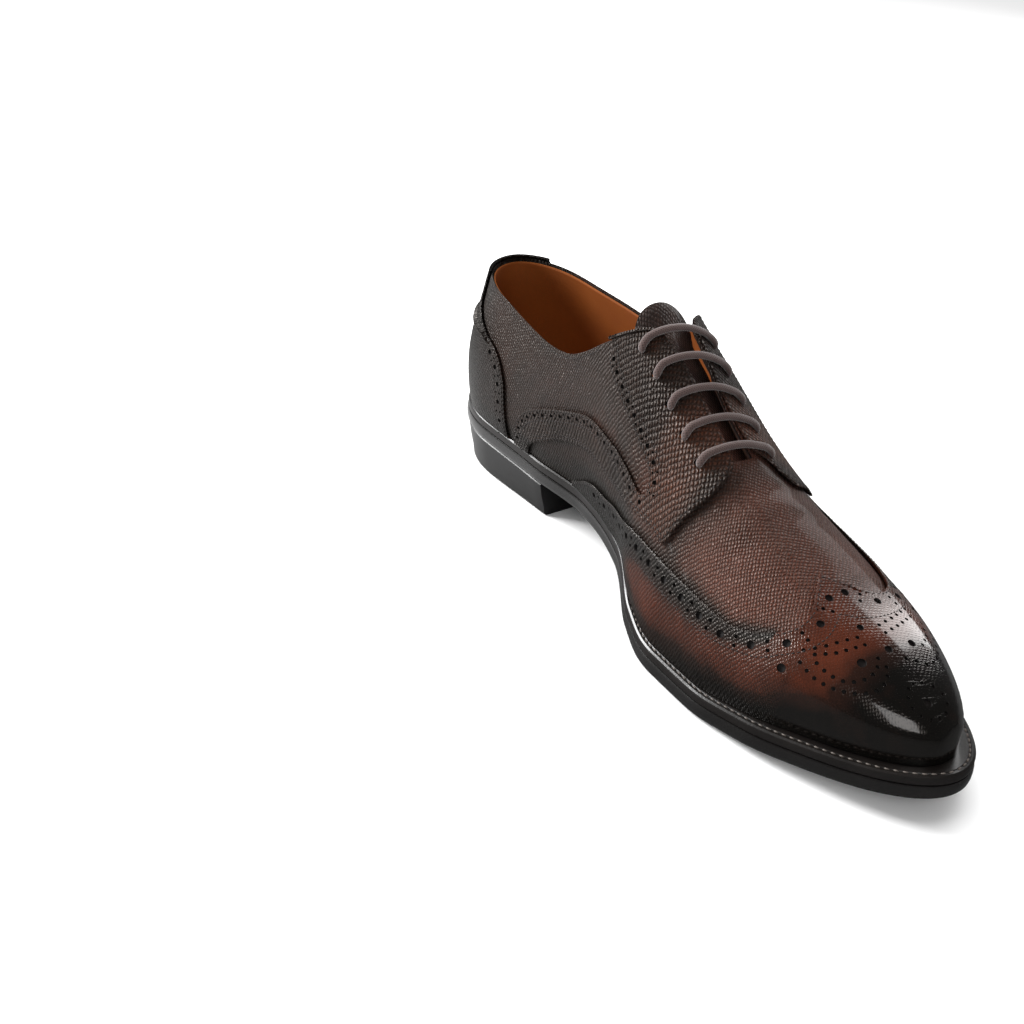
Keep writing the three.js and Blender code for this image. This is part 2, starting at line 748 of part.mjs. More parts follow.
// The shoe's origin is the middle of the heel's tread.
const shoe = new THREE.Group();
shoe.position.y = HEEL_LENGTH / 2 - SHOE_LENGTH / 2;
for (const [name, geometry] of Object.entries(pieces)) {
  const [color, roughness] = looks[name];
  const mesh = new THREE.Mesh(geometry, new THREE.MeshStandardMaterial({ color, roughness, metalness: 0 }));
  mesh.name = name;
  shoe.add(mesh);
}

export default shoe;
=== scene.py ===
"""Wing-tip brogue derby, left shoe: leather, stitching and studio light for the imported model."""
import math

import bmesh
import bpy
import numpy as np
from mathutils import Matrix, Vector, kdtree

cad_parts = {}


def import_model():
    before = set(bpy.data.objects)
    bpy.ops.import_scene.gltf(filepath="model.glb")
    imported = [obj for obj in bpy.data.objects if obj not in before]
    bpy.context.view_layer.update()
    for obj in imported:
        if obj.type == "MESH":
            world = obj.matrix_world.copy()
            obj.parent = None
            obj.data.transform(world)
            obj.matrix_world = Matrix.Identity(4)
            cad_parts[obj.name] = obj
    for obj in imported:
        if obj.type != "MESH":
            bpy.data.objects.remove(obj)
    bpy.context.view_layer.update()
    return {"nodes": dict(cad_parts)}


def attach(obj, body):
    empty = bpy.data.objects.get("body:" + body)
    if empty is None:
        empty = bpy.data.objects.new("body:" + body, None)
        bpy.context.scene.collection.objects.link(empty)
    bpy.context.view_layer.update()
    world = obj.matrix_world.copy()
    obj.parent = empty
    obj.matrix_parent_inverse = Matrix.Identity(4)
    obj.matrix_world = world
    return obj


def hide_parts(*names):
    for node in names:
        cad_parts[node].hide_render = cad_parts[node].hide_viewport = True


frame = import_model()

# Sizes in millimetres, as in the solids
SHOE_LENGTH = 312
BALL_WIDTH = 106
INSTEP_HEIGHT = 127
COLLAR_HEIGHT = 93.5
HEEL_HEIGHT = 20.2
TOE_SPRING = 12
HEEL_LENGTH = 84
SOLE_THICKNESS = 6.5
WELT_THICKNESS = 3.5
SKIN = 1.2
GAP = 0.35
HEEL_MARGIN = 2
TOE_MARGIN = 9
HEEL_CAP = 0.13
TOE_CAP = 0.21
TOE_BLUNTNESS = 0.445
EYELET_PITCH = 10.4
EYELET_SPREAD = 31
EYELET_COUNT = 5
FIRST_EYELET = 17.5
OUTER_EYELETS_BACK = 4
LACING_CENTRE = -5.8
SLOT_CENTRE = -4.6
SLOT_WIDTH = 9
THROAT = 0.61
LACE_WIDTH = 3.0
UPPER_WALL = 2.2
QUARTER_WALL = 1.2
LINING_WALL = 0.8
TONGUE_WALL = 1.7
PANEL_WALL = 1.3
TOOTH_PITCH = 2.1
PANEL_TOP = GAP + PANEL_WALL

HALF = BALL_WIDTH / 2
UPPER_BACK = SHOE_LENGTH / 2 - HEEL_MARGIN - SKIN
UPPER_FRONT = -SHOE_LENGTH / 2 + TOE_MARGIN
FOOT_RISE = SOLE_THICKNESS + WELT_THICKNESS + 2 * GAP
ROW_SHIFT = HEEL_LENGTH / 2 - SHOE_LENGTH / 2
INNER, OUTER = -1, 1

# Last sections: share, centre, top, ridge, foot, side and roof inside, the same outside, lift
LAST = [
    [0.0, -0.057, 0.961, -0.026, 0.604, 0.698, 0.462, 0.604, 0.64, 0.36, 0.22],
    [0.12, -0.028, 0.945, -0.032, 0.604, 0.698, 0.5, 0.642, 0.66, 0.43, 0.2],
    [0.25, 0.0, 0.984, -0.07, 0.566, 0.66, 0.557, 0.698, 0.708, 0.528, 0.27],
    [0.36, 0.0, 0.997, -0.1, 0.462, 0.632, 0.575, 0.764, 0.774, 0.555, 0.36],
    [0.46, 0.0, 0.888, -0.12, 0.509, 0.726, 0.585, 0.849, 0.858, 0.435, 0.4],
    [0.56, 0.0, 0.704, -0.105, 0.755, 0.887, 0.545, 0.953, 0.934, 0.385, 0.42],
    [0.64, 0.0, 0.585, -0.105, 0.868, 0.97, 0.49, 0.934, 0.962, 0.39, 0.48],
    [0.72, -0.006, 0.485, -0.09, 0.858, 0.953, 0.519, 0.84, 0.934, 0.46, 0.58],
    [0.8, -0.015, 0.41, -0.065, 0.764, 0.849, 0.5, 0.708, 0.84, 0.51, 0.67],
    [0.88, -0.028, 0.378, -0.055, 0.642, 0.717, 0.425, 0.594, 0.736, 0.48, 0.71],
    [1.0, -0.057, 0.335, -0.05, 0.519, 0.604, 0.358, 0.509, 0.623, 0.415, 0.71],
]
GROUND = [
    [0.0, 1.0, 0], [0.12, 0.955, 0], [0.25, 0.871, 0], [0.36, 0.733, 0], [0.44, 0.535, 0],
    [0.5, 0.31, 0], [0.55, 0.135, 0], [0.58, 0.05, 0], [0.61, 0, 0], [0.7, 0, 0],
    [0.78, 0, 0.15], [0.86, 0, 0.4], [0.93, 0, 0.67], [1.0, 0, 1.0],
]
MARGIN = [
    [0.0, 1.8, 1.8], [0.25, 0.6, 1.8], [0.4, 0.5, 2.2], [0.5, 2.8, 3.4],
    [0.6, 4.2, 4.6], [0.75, 4.0, 5.4], [0.88, 4.4, 5.4], [1.0, 5.0, 5.4],
]
COLLAR = [
    [0.0, 1.0], [0.06, 0.994], [0.12, 0.978], [0.2, 0.95], [0.27, 0.93], [0.31, 0.945],
    [0.354, 1.016], [0.388, 1.1], [0.42, 1.172], [0.45, 1.224], [0.48, 1.36],
]
SLOT = [[0.44, 2.0], [0.48, 1.5], [0.52, 1.05], [0.57, 0.95], [0.61, 1.05]]
BACK = [[0.0, -0.9], [0.25, 2.0], [0.6, -4.4], [1.0, -8.8]]
# Wing cap: top edge (share, girth) and where the line from each point meets the sole
WING_INNER = [
    [0.338, 0.012, 0.338], [0.382, 0.048, 0.4], [0.45, 0.077, 0.46], [0.5, 0.112, 0.52],
    [0.556, 0.16, 0.58], [0.608, 0.185, 0.635], [0.66, 0.196, 0.685], [0.718, 0.208, 0.735],
    [0.754, 0.218, 0.775], [0.782, 0.25, 0.815], [0.802, 0.3, 0.855], [0.81, 0.36, 0.9],
    [0.804, 0.41, 0.94], [0.786, 0.455, 0.97], [0.767, 0.5, 1.0],
]
WING_OUTER = [
    [0.36, 0.012, 0.36], [0.4, 0.07, 0.415], [0.436, 0.105, 0.46], [0.472, 0.125, 0.5],
    [0.522, 0.152, 0.55], [0.57, 0.176, 0.6], [0.62, 0.185, 0.65], [0.68, 0.198, 0.7],
    [0.73, 0.222, 0.755], [0.772, 0.265, 0.81], [0.8, 0.32, 0.86], [0.81, 0.38, 0.905],
    [0.804, 0.42, 0.94], [0.786, 0.46, 0.97], [0.767, 0.5, 1.0],
]
# Facing and its band: outer edge and inner edge, from the top line round to the heel end of the arch
FACING = [
    [0.449, 0.47, 0.397, 0.33], [0.48, 0.482, 0.42, 0.298],
    [0.51, 0.492, 0.445, 0.288], [0.54, 0.502, 0.465, 0.282], [0.57, 0.506, 0.485, 0.28],
    [0.6, 0.494, 0.505, 0.279], [0.614, 0.466, 0.522, 0.278], [0.624, 0.43, 0.534, 0.276],
    [0.628, 0.37, 0.543, 0.27], [0.624, 0.32, 0.549, 0.26], [0.618, 0.263, 0.552, 0.248],
    [0.612, 0.214, 0.551, 0.235], [0.582, 0.206, 0.544, 0.225], [0.556, 0.192, 0.53, 0.22],
    [0.525, 0.168, 0.508, 0.215], [0.48, 0.138, 0.475, 0.205], [0.434, 0.122, 0.434, 0.192],
    [0.392, 0.113, 0.392, 0.178], [0.35, 0.1, 0.34, 0.158], [0.31, 0.084, 0.295, 0.142],
    [0.28, 0.064, 0.255, 0.124], [0.26, 0.05, 0.23, 0.104], [0.246, 0.03, 0.213, 0.07],
    [0.24, 0.0, 0.204, 0.0],
]
COUNTER = [
    [0.0, 0.19], [0.08, 0.184], [0.13, 0.18], [0.17, 0.166], [0.2, 0.14],
    [0.225, 0.085], [0.25, 0.05], [0.36, 0.036],
]


def hermite(xs, ys, tangent, x):
    """Cubic through points with the given tangents."""
    c = np.clip(x, xs[0], xs[-1])
    i = np.clip(np.searchsorted(xs, c, side="right") - 1, 0, len(xs) - 2)
    h = xs[i + 1] - xs[i]
    s = (c - xs[i]) / h
    a = (2 * s**3 - 3 * s**2 + 1) * ys[i] + (s**3 - 2 * s**2 + s) * h * tangent[i]
    b = (3 * s**2 - 2 * s**3) * ys[i + 1] + (s**3 - s**2) * h * tangent[i + 1]
    return a + b


def column(rows, k):
    """Smooth curve through one column of a table, which never overshoots."""
    xs = np.array([row[0] for row in rows], float)
    ys = np.array([row[k] for row in rows], float)
    step = np.diff(xs)
    slope = np.diff(ys) / step
    tangent = np.zeros(len(xs))
    tangent[0], tangent[-1] = slope[0], slope[-1]
    for i in range(1, len(xs) - 1):
        if slope[i - 1] * slope[i] > 0:
            w1 = 2 * step[i] + step[i - 1]
            w2 = step[i] + 2 * step[i - 1]
            tangent[i] = (w1 + w2) / (w1 / slope[i - 1] + w2 / slope[i])
    return lambda x: hermite(xs, ys, tangent, x)


centre, crest, ridge, foot_in, side_in, roof_in, foot_out, side_out, roof_out, lift = (
    column(LAST, k) for k in range(1, 11)
)
ground_heel, ground_spring = column(GROUND, 1), column(GROUND, 2)
margin_in, margin_out = column(MARGIN, 1), column(MARGIN, 2)
collar_height, slot_half, back_seam = column(COLLAR, 1), column(SLOT, 1), column(BACK, 1)
counter_reach = column(COUNTER, 1)


def ground(y):
    share = (SHOE_LENGTH / 2 - y) / SHOE_LENGTH
    return HEEL_HEIGHT * ground_heel(share) + TOE_SPRING * ground_spring(share)


def round_end(q):
    return np.sqrt(np.maximum(1 - np.minimum(q, 1) ** 2, 0))


def heel_turn(share):
    return round_end(np.maximum(HEEL_CAP - share, 0) / HEEL_CAP)


def toe_turn(share):
    return round_end(np.maximum(share - (1 - TOE_CAP), 0) / TOE_CAP)


def bell(x, middle, width):
    return np.exp(-(((x - middle) / width) ** 2))


def ramp(x, low, high):
    t = np.clip((x - low) / (high - low), 0, 1)
    return t * t * (3 - 2 * t)


def creases(share, girth):
    """Soft troughs and swells of the worn-in leather, millimetres."""
    across = bell(girth, 0.5, 0.2)
    flex = -0.5 * bell(share, 0.652, 0.011) * across + 0.25 * bell(share, 0.672, 0.012) * across
    flex -= 0.35 * bell(share, 0.7, 0.012) * bell(girth, 0.38, 0.09)
    flex -= 0.3 * bell(share, 0.694, 0.012) * bell(girth, 0.63, 0.09)
    waist = -0.5 * bell(share, 0.3, 0.05) * bell(girth, 0.23, 0.04)
    ankle = 0.4 * bell(share, 0.2, 0.06) * (bell(girth, 0.3, 0.04) + bell(girth, 0.7, 0.04))
    return flex + waist + ankle


def last(share, girth, out=0.0):
    """Points of the last in metres in the row frame, `out` millimetres off its surface."""
    share, girth, out = np.broadcast_arrays(np.asarray(share, float), girth, out)
    out = out + creases(share, girth)
    inner = girth < 0.5
    side = np.where(inner, -1.0, 1.0)
    u = np.where(inner, 2 * girth, 2 - 2 * girth)
    toe = toe_turn(share)
    end = heel_turn(share) * toe
    foot = np.where(inner, foot_in(share), foot_out(share)) * HALF + out - SKIN
    bulge = np.where(inner, side_in(share), side_out(share)) * HALF + out - SKIN
    roof = np.where(inner, roof_in(share), roof_out(share)) * HALF + out - SKIN
    top_ridge = ridge(share) * HALF * end
    along = UPPER_BACK + out - (UPPER_BACK - UPPER_FRONT + 2 * out) * share
    base = ground(along) + FOOT_RISE
    top = crest(share) * INSTEP_HEIGHT
    height = (top + out - SKIN - base) * toe**TOE_BLUNTNESS
    b0, b1, b2, b3 = (1 - u) ** 3, 3 * u * (1 - u) ** 2, 3 * u**2 * (1 - u), u**3
    rise = height * (b1 * lift(share) + b2 + b3)
    fade = np.maximum(1 - share / (2.2 * HEEL_CAP), 0) ** 2
    behind = back_seam(rise / np.maximum(top - base, 1)) * fade
    x = side * end * (b0 * foot + b1 * bulge + b2 * roof) + top_ridge * (b2 + b3) + centre(share) * HALF
    return np.stack([x, along + behind + ROW_SHIFT, base + rise], -1) / 1000


def slopes(share, girth, out=0.0):
    """Change of the surface per share and per girth, and its outward normal."""
    h = 1e-3
    a = (last(share + h, girth, out) - last(share - h, girth, out)) / (2 * h)
    b = (last(share, girth + h, out) - last(share, girth - h, out)) / (2 * h)
    n = np.cross(a, b)
    return a, b, n / np.maximum(np.linalg.norm(n, axis=-1, keepdims=True), 1e-12)


def halve(low, high, test):
    """Bisection on arrays: the place where test turns from true to false."""
    for _ in range(34):
        middle = (low + high) / 2
        ok = test(middle)
        low = np.where(ok, middle, low)
        high = np.where(ok, high, middle)
    return (low + high) / 2


def girth_at_x(share, x):
    share = np.asarray(share, float)

    def before(girth):
        return last(share, girth)[..., 0] < x / 1000

    return halve(np.full_like(share, 0.3), np.full_like(share, 0.7), before)


def open_edge(share, side):
    """Girth of the top line, then of the lacing slot."""
    share = np.asarray(share, float)
    height = collar_height(share) * COLLAR_HEIGHT / 1000

    def girth(u):
        return u if side < 0 else 1 - u

    def under(u):
        return last(share, girth(u))[..., 2] < height

    u = halve(np.zeros_like(share), np.full_like(share, 0.5), under)
    slot = girth_at_x(share, SLOT_CENTRE + side * slot_half(share) * SLOT_WIDTH / 2)
    return np.minimum(girth(u), slot) if side < 0 else np.maximum(girth(u), slot)


edge_shares = np.linspace(0, THROAT, 240)
edge_girths = {side: open_edge(edge_shares, side) for side in (INNER, OUTER)}


def edge_at(share, side):
    return np.interp(share, edge_shares, edge_girths[side])


def lengths(points):
    """Distance along a line of points, up to each of them."""
    return np.concatenate([[0], np.cumsum(np.linalg.norm(np.diff(points, axis=0), axis=1))])


def through(at, values, fine):
    """Smooth curve through values at their distances, read at the fine ones."""
    return hermite(at, values, np.gradient(values, at), fine)


def girths_round(share):
    """Length of leather from the inner foot line to the outer one, millimetres."""
    g = np.linspace(0, 1, 33)
    points = last(np.full(33, share), g)
    return 1000 * np.linalg.norm(np.diff(points, axis=0), axis=1).sum()


span_shares = np.linspace(0, 1, 41)
spans = np.array([girths_round(s) for s in span_shares])


def unrolled(share, girth):
    """Flat coordinates of a point of the last, millimetres."""
    return share * 300, (girth - 0.5) * np.interp(share, span_shares, spans)


class Trace:
    """A line drawn on the last, smooth through each run of points and measured in millimetres."""

    def __init__(self, *runs):
        shares, girths = [], []
        for run in runs:
            points = np.array([row[:2] for row in run], float)
            at = lengths(last(points[:, 0], points[:, 1]) * 1000)
            fine = np.linspace(0, at[-1], 24 * len(points))
            shares.append(through(at, points[:, 0], fine))
            girths.append(through(at, points[:, 1], fine))
        self.share = np.concatenate(shares)
        self.girth = np.concatenate(girths)
        self.at = lengths(last(self.share, self.girth, PANEL_TOP) * 1000)
        self.length = self.at[-1]

    def point(self, mm):
        return np.interp(mm, self.at, self.share), np.interp(mm, self.at, self.girth)

    def aside(self, mm, distance):
        """Share and girth of the points a distance to the side of the line, along the leather."""
        share, girth = self.point(mm)
        s0, g0 = self.point(np.maximum(mm - 0.8, 0))
        s1, g1 = self.point(np.minimum(mm + 0.8, self.length))
        a, b, n = slopes(share, girth, PANEL_TOP)
        t = last(s1, g1, PANEL_TOP) - last(s0, g0, PANEL_TOP)
        t = t / np.maximum(np.linalg.norm(t, axis=-1, keepdims=True), 1e-12)
        d = np.cross(n, t) * (np.asarray(distance)[..., None] / 1000)
        aa, ab, bb = (a * a).sum(-1), (a * b).sum(-1), (b * b).sum(-1)
        da, db = (a * d).sum(-1), (b * d).sum(-1)
        det = aa * bb - ab * ab
        return share + (da * bb - db * ab) / det, girth + (db * aa - da * ab) / det


def burnish_and_flap_shade(share, girth):
    """Finish of the leather over the shoe, from 0 for light brown to 1 for black, with a painted shadow in
    front of the flaps of the lacing.
    """
    inner = np.where(girth < 0.5, girth, 1 - girth)
    wing = np.interp(share, [r[0] for r in WING_INNER[:12]], [r[1] for r in WING_INNER[:12]])
    toe = ramp(share, 0.855, 0.94) + 0.5 * ramp(share, 0.8, 0.86) * ramp(inner, 0.2, 0.05)
    edge = 0.75 * bell(inner, wing - 0.02, 0.035) * (share < 0.8) * (share > 0.33)
    sole = 0.55 * bell(inner, 0.0, 0.05) + 0.4 * ramp(share, 0.6, 0.75) * bell(inner, 0.0, 0.08)
    # Painted shadow: darker just in front of the facings' front edges, where the flaps stand off the vamp
    flap_shadow = 0.35 * bell(share, 0.625, 0.02) * ramp(inner, 0.15, 0.25)
    heel = 0.5 * ramp(share, 0.14, 0.05)
    quarter = 0.45 * ramp(share, 0.56, 0.5)
    return np.clip(0.12 + toe + edge + sole + flap_shadow + heel + quarter, 0, 1)


def grain_depth(share):
    """Depth of the embossing, which is polished away towards the toe."""
    return np.clip(1 - ramp(share, 0.78, 0.88) * 0.85, 0.1, 1)


def start_grid(columns, rows):
    bm = bmesh.new()
    bmesh.ops.create_grid(bm, x_segments=columns, y_segments=rows, size=1.0)
    co = np.array([v.co[:2] for v in bm.verts])
    return bm, (co[:, 0] + 1) / 2, (co[:, 1] + 1) / 2


def move_to(bm, places):
    for v, place in zip(bm.verts, places):
        v.co = place


def as_piece(bm, name, slot, *materials, body="root"):
    mesh = bpy.data.meshes.new(name)
    bm.to_mesh(mesh)
    bm.free()
    for polygon in mesh.polygons:
        polygon.use_smooth = True
    piece = bpy.data.objects.new(name, mesh)
    bpy.context.scene.collection.objects.link(piece)
    for material in materials:
        mesh.materials.append(material)
    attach(piece, body)
    return piece


def settle(piece, angle=38):
    """Applies the piece's modifiers and keeps its hard edges hard."""
    bpy.context.view_layer.update()
    graph = bpy.context.evaluated_depsgraph_get()
    mesh = bpy.data.meshes.new_from_object(piece.evaluated_get(graph))
    piece.modifiers.clear()
    old = piece.data
    piece.data = mesh
    bpy.data.meshes.remove(old)
    bm = bmesh.new()
    bm.from_mesh(mesh)
    for edge in bm.edges:
        edge.smooth = edge.calc_face_angle(0) < math.radians(angle)
    for face in bm.faces:
        face.smooth = True
    bm.to_mesh(mesh)
    bm.free()


def mark_leather(bm, share, girth, dark=0.0, coarse=1.0):
    """Writes the flat coordinates and the finish, painted flap shadow included, on a grid that still has all
    its points.
    """
    shade = bm.verts.layers.float.new("burnish_and_flap_shade")
    deep = bm.verts.layers.float.new("grain")
    flat = bm.loops.layers.uv.new("flat")
    u, w = unrolled(share, girth)
    dark_values = np.clip(burnish_and_flap_shade(share, girth) + dark, 0, 1)
    deep_values = grain_depth(share) * coarse
    for k, v in enumerate(bm.verts):
        v[shade] = dark_values[k]
        v[deep] = deep_values[k]
        for loop in v.link_loops:
            loop[flat].uv = (u[k] / 1000, w[k] / 1000)


def restore_marks(piece, points, share, girth, dark, coarse):
    """Gives the corners made by the punches the marks of the leather round them."""
    tree = kdtree.KDTree(len(points))
    for k, point in enumerate(points):
        tree.insert(point, k)
    tree.balance()
    u, w = unrolled(share, girth)
    bm = bmesh.new()
    bm.from_mesh(piece.data)
    shade = bm.verts.layers.float["burnish_and_flap_shade"]
    deep = bm.verts.layers.float["grain"]
    flat = bm.loops.layers.uv["flat"]
    for v in bm.verts:
        if v[deep] > 0.05:
            continue
        near = tree.find_n(v.co, 4)
        weight = np.array([1 / (found[2] + 1e-5) for found in near])
        weight /= weight.sum()
        pick = [found[1] for found in near]
        at_share, at_girth = float(share[pick] @ weight), float(girth[pick] @ weight)
        v[shade] = float(np.clip(burnish_and_flap_shade(at_share, at_girth) + dark, 0, 1))
        v[deep] = float(grain_depth(at_share)) * coarse
        for loop in v.link_loops:
            loop[flat].uv = (float(u[pick] @ weight) / 1000, float(w[pick] @ weight) / 1000)
    bm.to_mesh(piece.data)
    bm.free()


def leather_piece(name, slot, columns, rows, place, wall, materials, holes=(), replaces=(), dark=0.0,
                  coarse=1.0, keep=None):
    """A panel laid on the last: place(u, w) gives share, girth and height, and wall is its thickness."""
    bm, u, w = start_grid(columns, rows)
    share, girth, out = place(u, w)
    points = last(share, girth, out)
    move_to(bm, points)
    mark_leather(bm, share, girth, dark, coarse)
    bm.verts.index_update()
    if keep is not None:
        stays = keep(u, w)
        gone = [f for f in bm.faces if not stays(f)]
        bmesh.ops.delete(bm, geom=gone, context="FACES")
    outward = slopes(share, girth)[2]
    bm.normal_update()
    agree = sum(f.normal.dot(Vector(outward[f.verts[0].index])) for f in bm.faces)
    bmesh.ops.remove_doubles(bm, verts=bm.verts[:], dist=2e-6)
    bmesh.ops.dissolve_degenerate(bm, edges=bm.edges[:], dist=1e-6)
    if agree < 0:
        bmesh.ops.reverse_faces(bm, faces=bm.faces[:])
    piece = as_piece(bm, name, slot, *materials)
    shell = piece.modifiers.new("wall", "SOLIDIFY")
    shell.thickness = wall / 1000
    shell.offset = -1
    if len(holes):
        cutter = punches(name + "_punch", holes, materials)
        cut = piece.modifiers.new("holes", "BOOLEAN")
        cut.operation = "DIFFERENCE"
        cut.solver = "MANIFOLD"
        cut.object = cutter
    settle(piece)
    if len(holes):
        bpy.data.objects.remove(cutter)
        restore_marks(piece, points, share, girth, dark, coarse)
    if replaces:
        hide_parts(*replaces)
    return piece


def turned(point, normal, forward=None):
    """Matrix that stands local Z on a normal at a point, with local Y forward."""
    z = Vector(normal).normalized()
    y = Vector(forward) if forward is not None else z.orthogonal()
    y = (y - z * y.dot(z)).normalized()
    x = y.cross(z)
    m = Matrix((x, y, z)).transposed().to_4x4()
    m.translation = Vector(point)
    return m


def punches(name, holes, materials):
    """One cutter for a list of (point, normal, radius, depth) holes, whose own faces, the walls and floors of
    the holes, are painted near-black as shade.
    """
    bm = bmesh.new()
    for point, normal, radius, depth in holes:
        reach = depth + 1.5
        m = turned(Vector(point) + Vector(normal) * (1.5 - depth) / 2000, normal)
        bmesh.ops.create_cone(bm, cap_ends=True, segments=12 if radius > 1 else 8, radius1=radius / 1150,
                              radius2=radius / 1000, depth=reach / 1000, matrix=m)
    for face in bm.faces:
        face.material_index = len(materials) - 1
    mesh = bpy.data.meshes.new(name)
    bm.to_mesh(mesh)
    bm.free()
    for material in materials:
        mesh.materials.append(material)
    cutter = bpy.data.objects.new(name, mesh)
    bpy.context.scene.collection.objects.link(cutter)
    return cutter


def holes_at(share, girth, radius, depth=1.05, out=PANEL_TOP):
    share, girth = np.atleast_1d(share), np.atleast_1d(girth)
    points = last(share, girth, out)
    normals = slopes(share, girth, out)[2]
    return [(p, n, radius, depth) for p, n in zip(points, normals)]


def brogue_row(trace, distance, pitch, big, small, first=0.0, end=None, spread=1.35):
    """Big holes along a line with a pair of small ones between each two."""
    end = trace.length if end is None else end
    count = max(int((end - first) / pitch), 1)
    at = first + (np.arange(count) + 0.5) * (end - first) / count
    between = first + np.arange(1, count) * (end - first) / count
    made = holes_at(*trace.aside(at, np.full(count, distance)), big)
    for shift in (-spread, spread):
        made += holes_at(*trace.aside(between, np.full(count - 1, distance + shift)), small)
    return made


seams = []


def stitch_row(trace, distance, pitch=2.0, first=0.5, end=None, out=PANEL_TOP, size=(0.3, 0.78, 0.2)):
    """Notes the stitches of a seam a distance to the side of a line."""
    end = trace.length - 0.5 if end is None else end
    count = max(int((end - first) / pitch), 2)
    at = np.linspace(first, end, count)
    share, girth = trace.aside(at, np.full(count, distance))
    points = last(share, girth, out - 0.02)
    normals = slopes(share, girth, out)[2]
    ahead = np.gradient(points, axis=0)
    seams.extend((p, n, f, size) for p, n, f in zip(points, normals, ahead))


def stitches(name, slot, material, marks):
    """Every stitch of a thread, a grain of thread each."""
    bm = bmesh.new()
    for point, normal, forward, (wide, long, high) in marks:
        m = turned(point, normal, forward) @ Matrix.Diagonal((wide / 1000, long / 1000, high / 1000, 1))
        bmesh.ops.create_icosphere(bm, subdivisions=1, radius=1.0, matrix=m)
    return as_piece(bm, name, slot, material)


# Materials
def feed(tree, target, inputs):
    """Links the sockets and sets the plain values of a node's inputs."""
    for key, value in inputs.items():
        if isinstance(value, bpy.types.NodeSocket):
            tree.links.new(value, target.inputs[key])
        else:
            target.inputs[key].default_value = value


def node(tree, kind, inputs=None, **settings):
    made = tree.nodes.new(kind)
    for key, value in settings.items():
        setattr(made, key, value)
    feed(tree, made, inputs or {})
    return made


def rgb(text):
    value = [int(text[i:i + 2], 16) / 255 for i in (0, 2, 4)]
    return tuple(c / 12.92 if c <= 0.04045 else ((c + 0.055) / 1.055) ** 2.4 for c in value) + (1.0,)


def group(name, inputs, outputs):
    tree = bpy.data.node_groups.new(name, "ShaderNodeTree")
    for label, kind in inputs:
        tree.interface.new_socket(label, in_out="INPUT", socket_type=kind)
    for label, kind in outputs:
        tree.interface.new_socket(label, in_out="OUTPUT", socket_type=kind)
    return tree, tree.nodes.new("NodeGroupInput").outputs, tree.nodes.new("NodeGroupOutput")


def maths(tree, operation, a, b=0.0, clamp=False):
    return node(tree, "ShaderNodeMath", {0: a, 1: b}, operation=operation, use_clamp=clamp).outputs[0]


def noise(tree, place, scale, detail):
    return node(tree, "ShaderNodeTexNoise", {"Vector": place, "Scale": scale, "Detail": detail}).outputs


def blend(tree, factor, first, second):
    return node(tree, "ShaderNodeMix", {0: factor, 6: first, 7: second}, data_type="RGBA").outputs[2]


def bands(tree, place, angle, **wave):
    """Wavy stripes across a direction in the flat coordinates."""
    spun = node(tree, "ShaderNodeMapping", {"Vector": place, "Rotation": (0, 0, angle)})
    inputs = {"Vector": spun.outputs[0], **{key.replace("_", " "): value for key, value in wave.items()}}
    return node(tree, "ShaderNodeTexWave", inputs, bands_direction="X").outputs["Fac"]


STRIPE = 0.314159  # scale of the wave texture for stripes one unit apart


def build_hatched_grain():
    """Fine hatched embossing: two crossing sets of wavy furrows, softened here and there."""
    tree, given, result = group(
        "hatched_grain",
        [("Vector", "NodeSocketVector"), ("Size", "NodeSocketFloat")],
        [("Height", "NodeSocketFloat"), ("Pits", "NodeSocketFloat")],
    )
    drift = noise(tree, given["Vector"], 420.0, 2.0)["Color"]
    push = node(tree, "ShaderNodeVectorMath", {0: drift, 1: (0.5, 0.5, 0.5)}, operation="SUBTRACT")
    push = node(tree, "ShaderNodeVectorMath", {0: push.outputs[0], "Scale": 0.0014}, operation="SCALE")
    moved = node(tree, "ShaderNodeVectorMath", {0: given["Vector"], 1: push.outputs[0]}, operation="ADD")
    scale = maths(tree, "DIVIDE", STRIPE, given["Size"])
    ridges = []
    for angle in (0.42, -0.72):
        wave = bands(tree, moved.outputs[0], angle, Scale=scale, Distortion=1.5, Detail=1.0, Detail_Scale=1.2)
        ridges.append(maths(tree, "POWER", wave, 0.55))
    cells = maths(tree, "MULTIPLY", ridges[0], ridges[1])
    fine = noise(tree, given["Vector"], 2600.0, 2.0)["Fac"]
    feed(tree, result, {
        "Height": maths(tree, "ADD", cells, maths(tree, "MULTIPLY", fine, 0.22)),
        "Pits": maths(tree, "SUBTRACT", 1.0, cells, clamp=True),
    })
    return tree


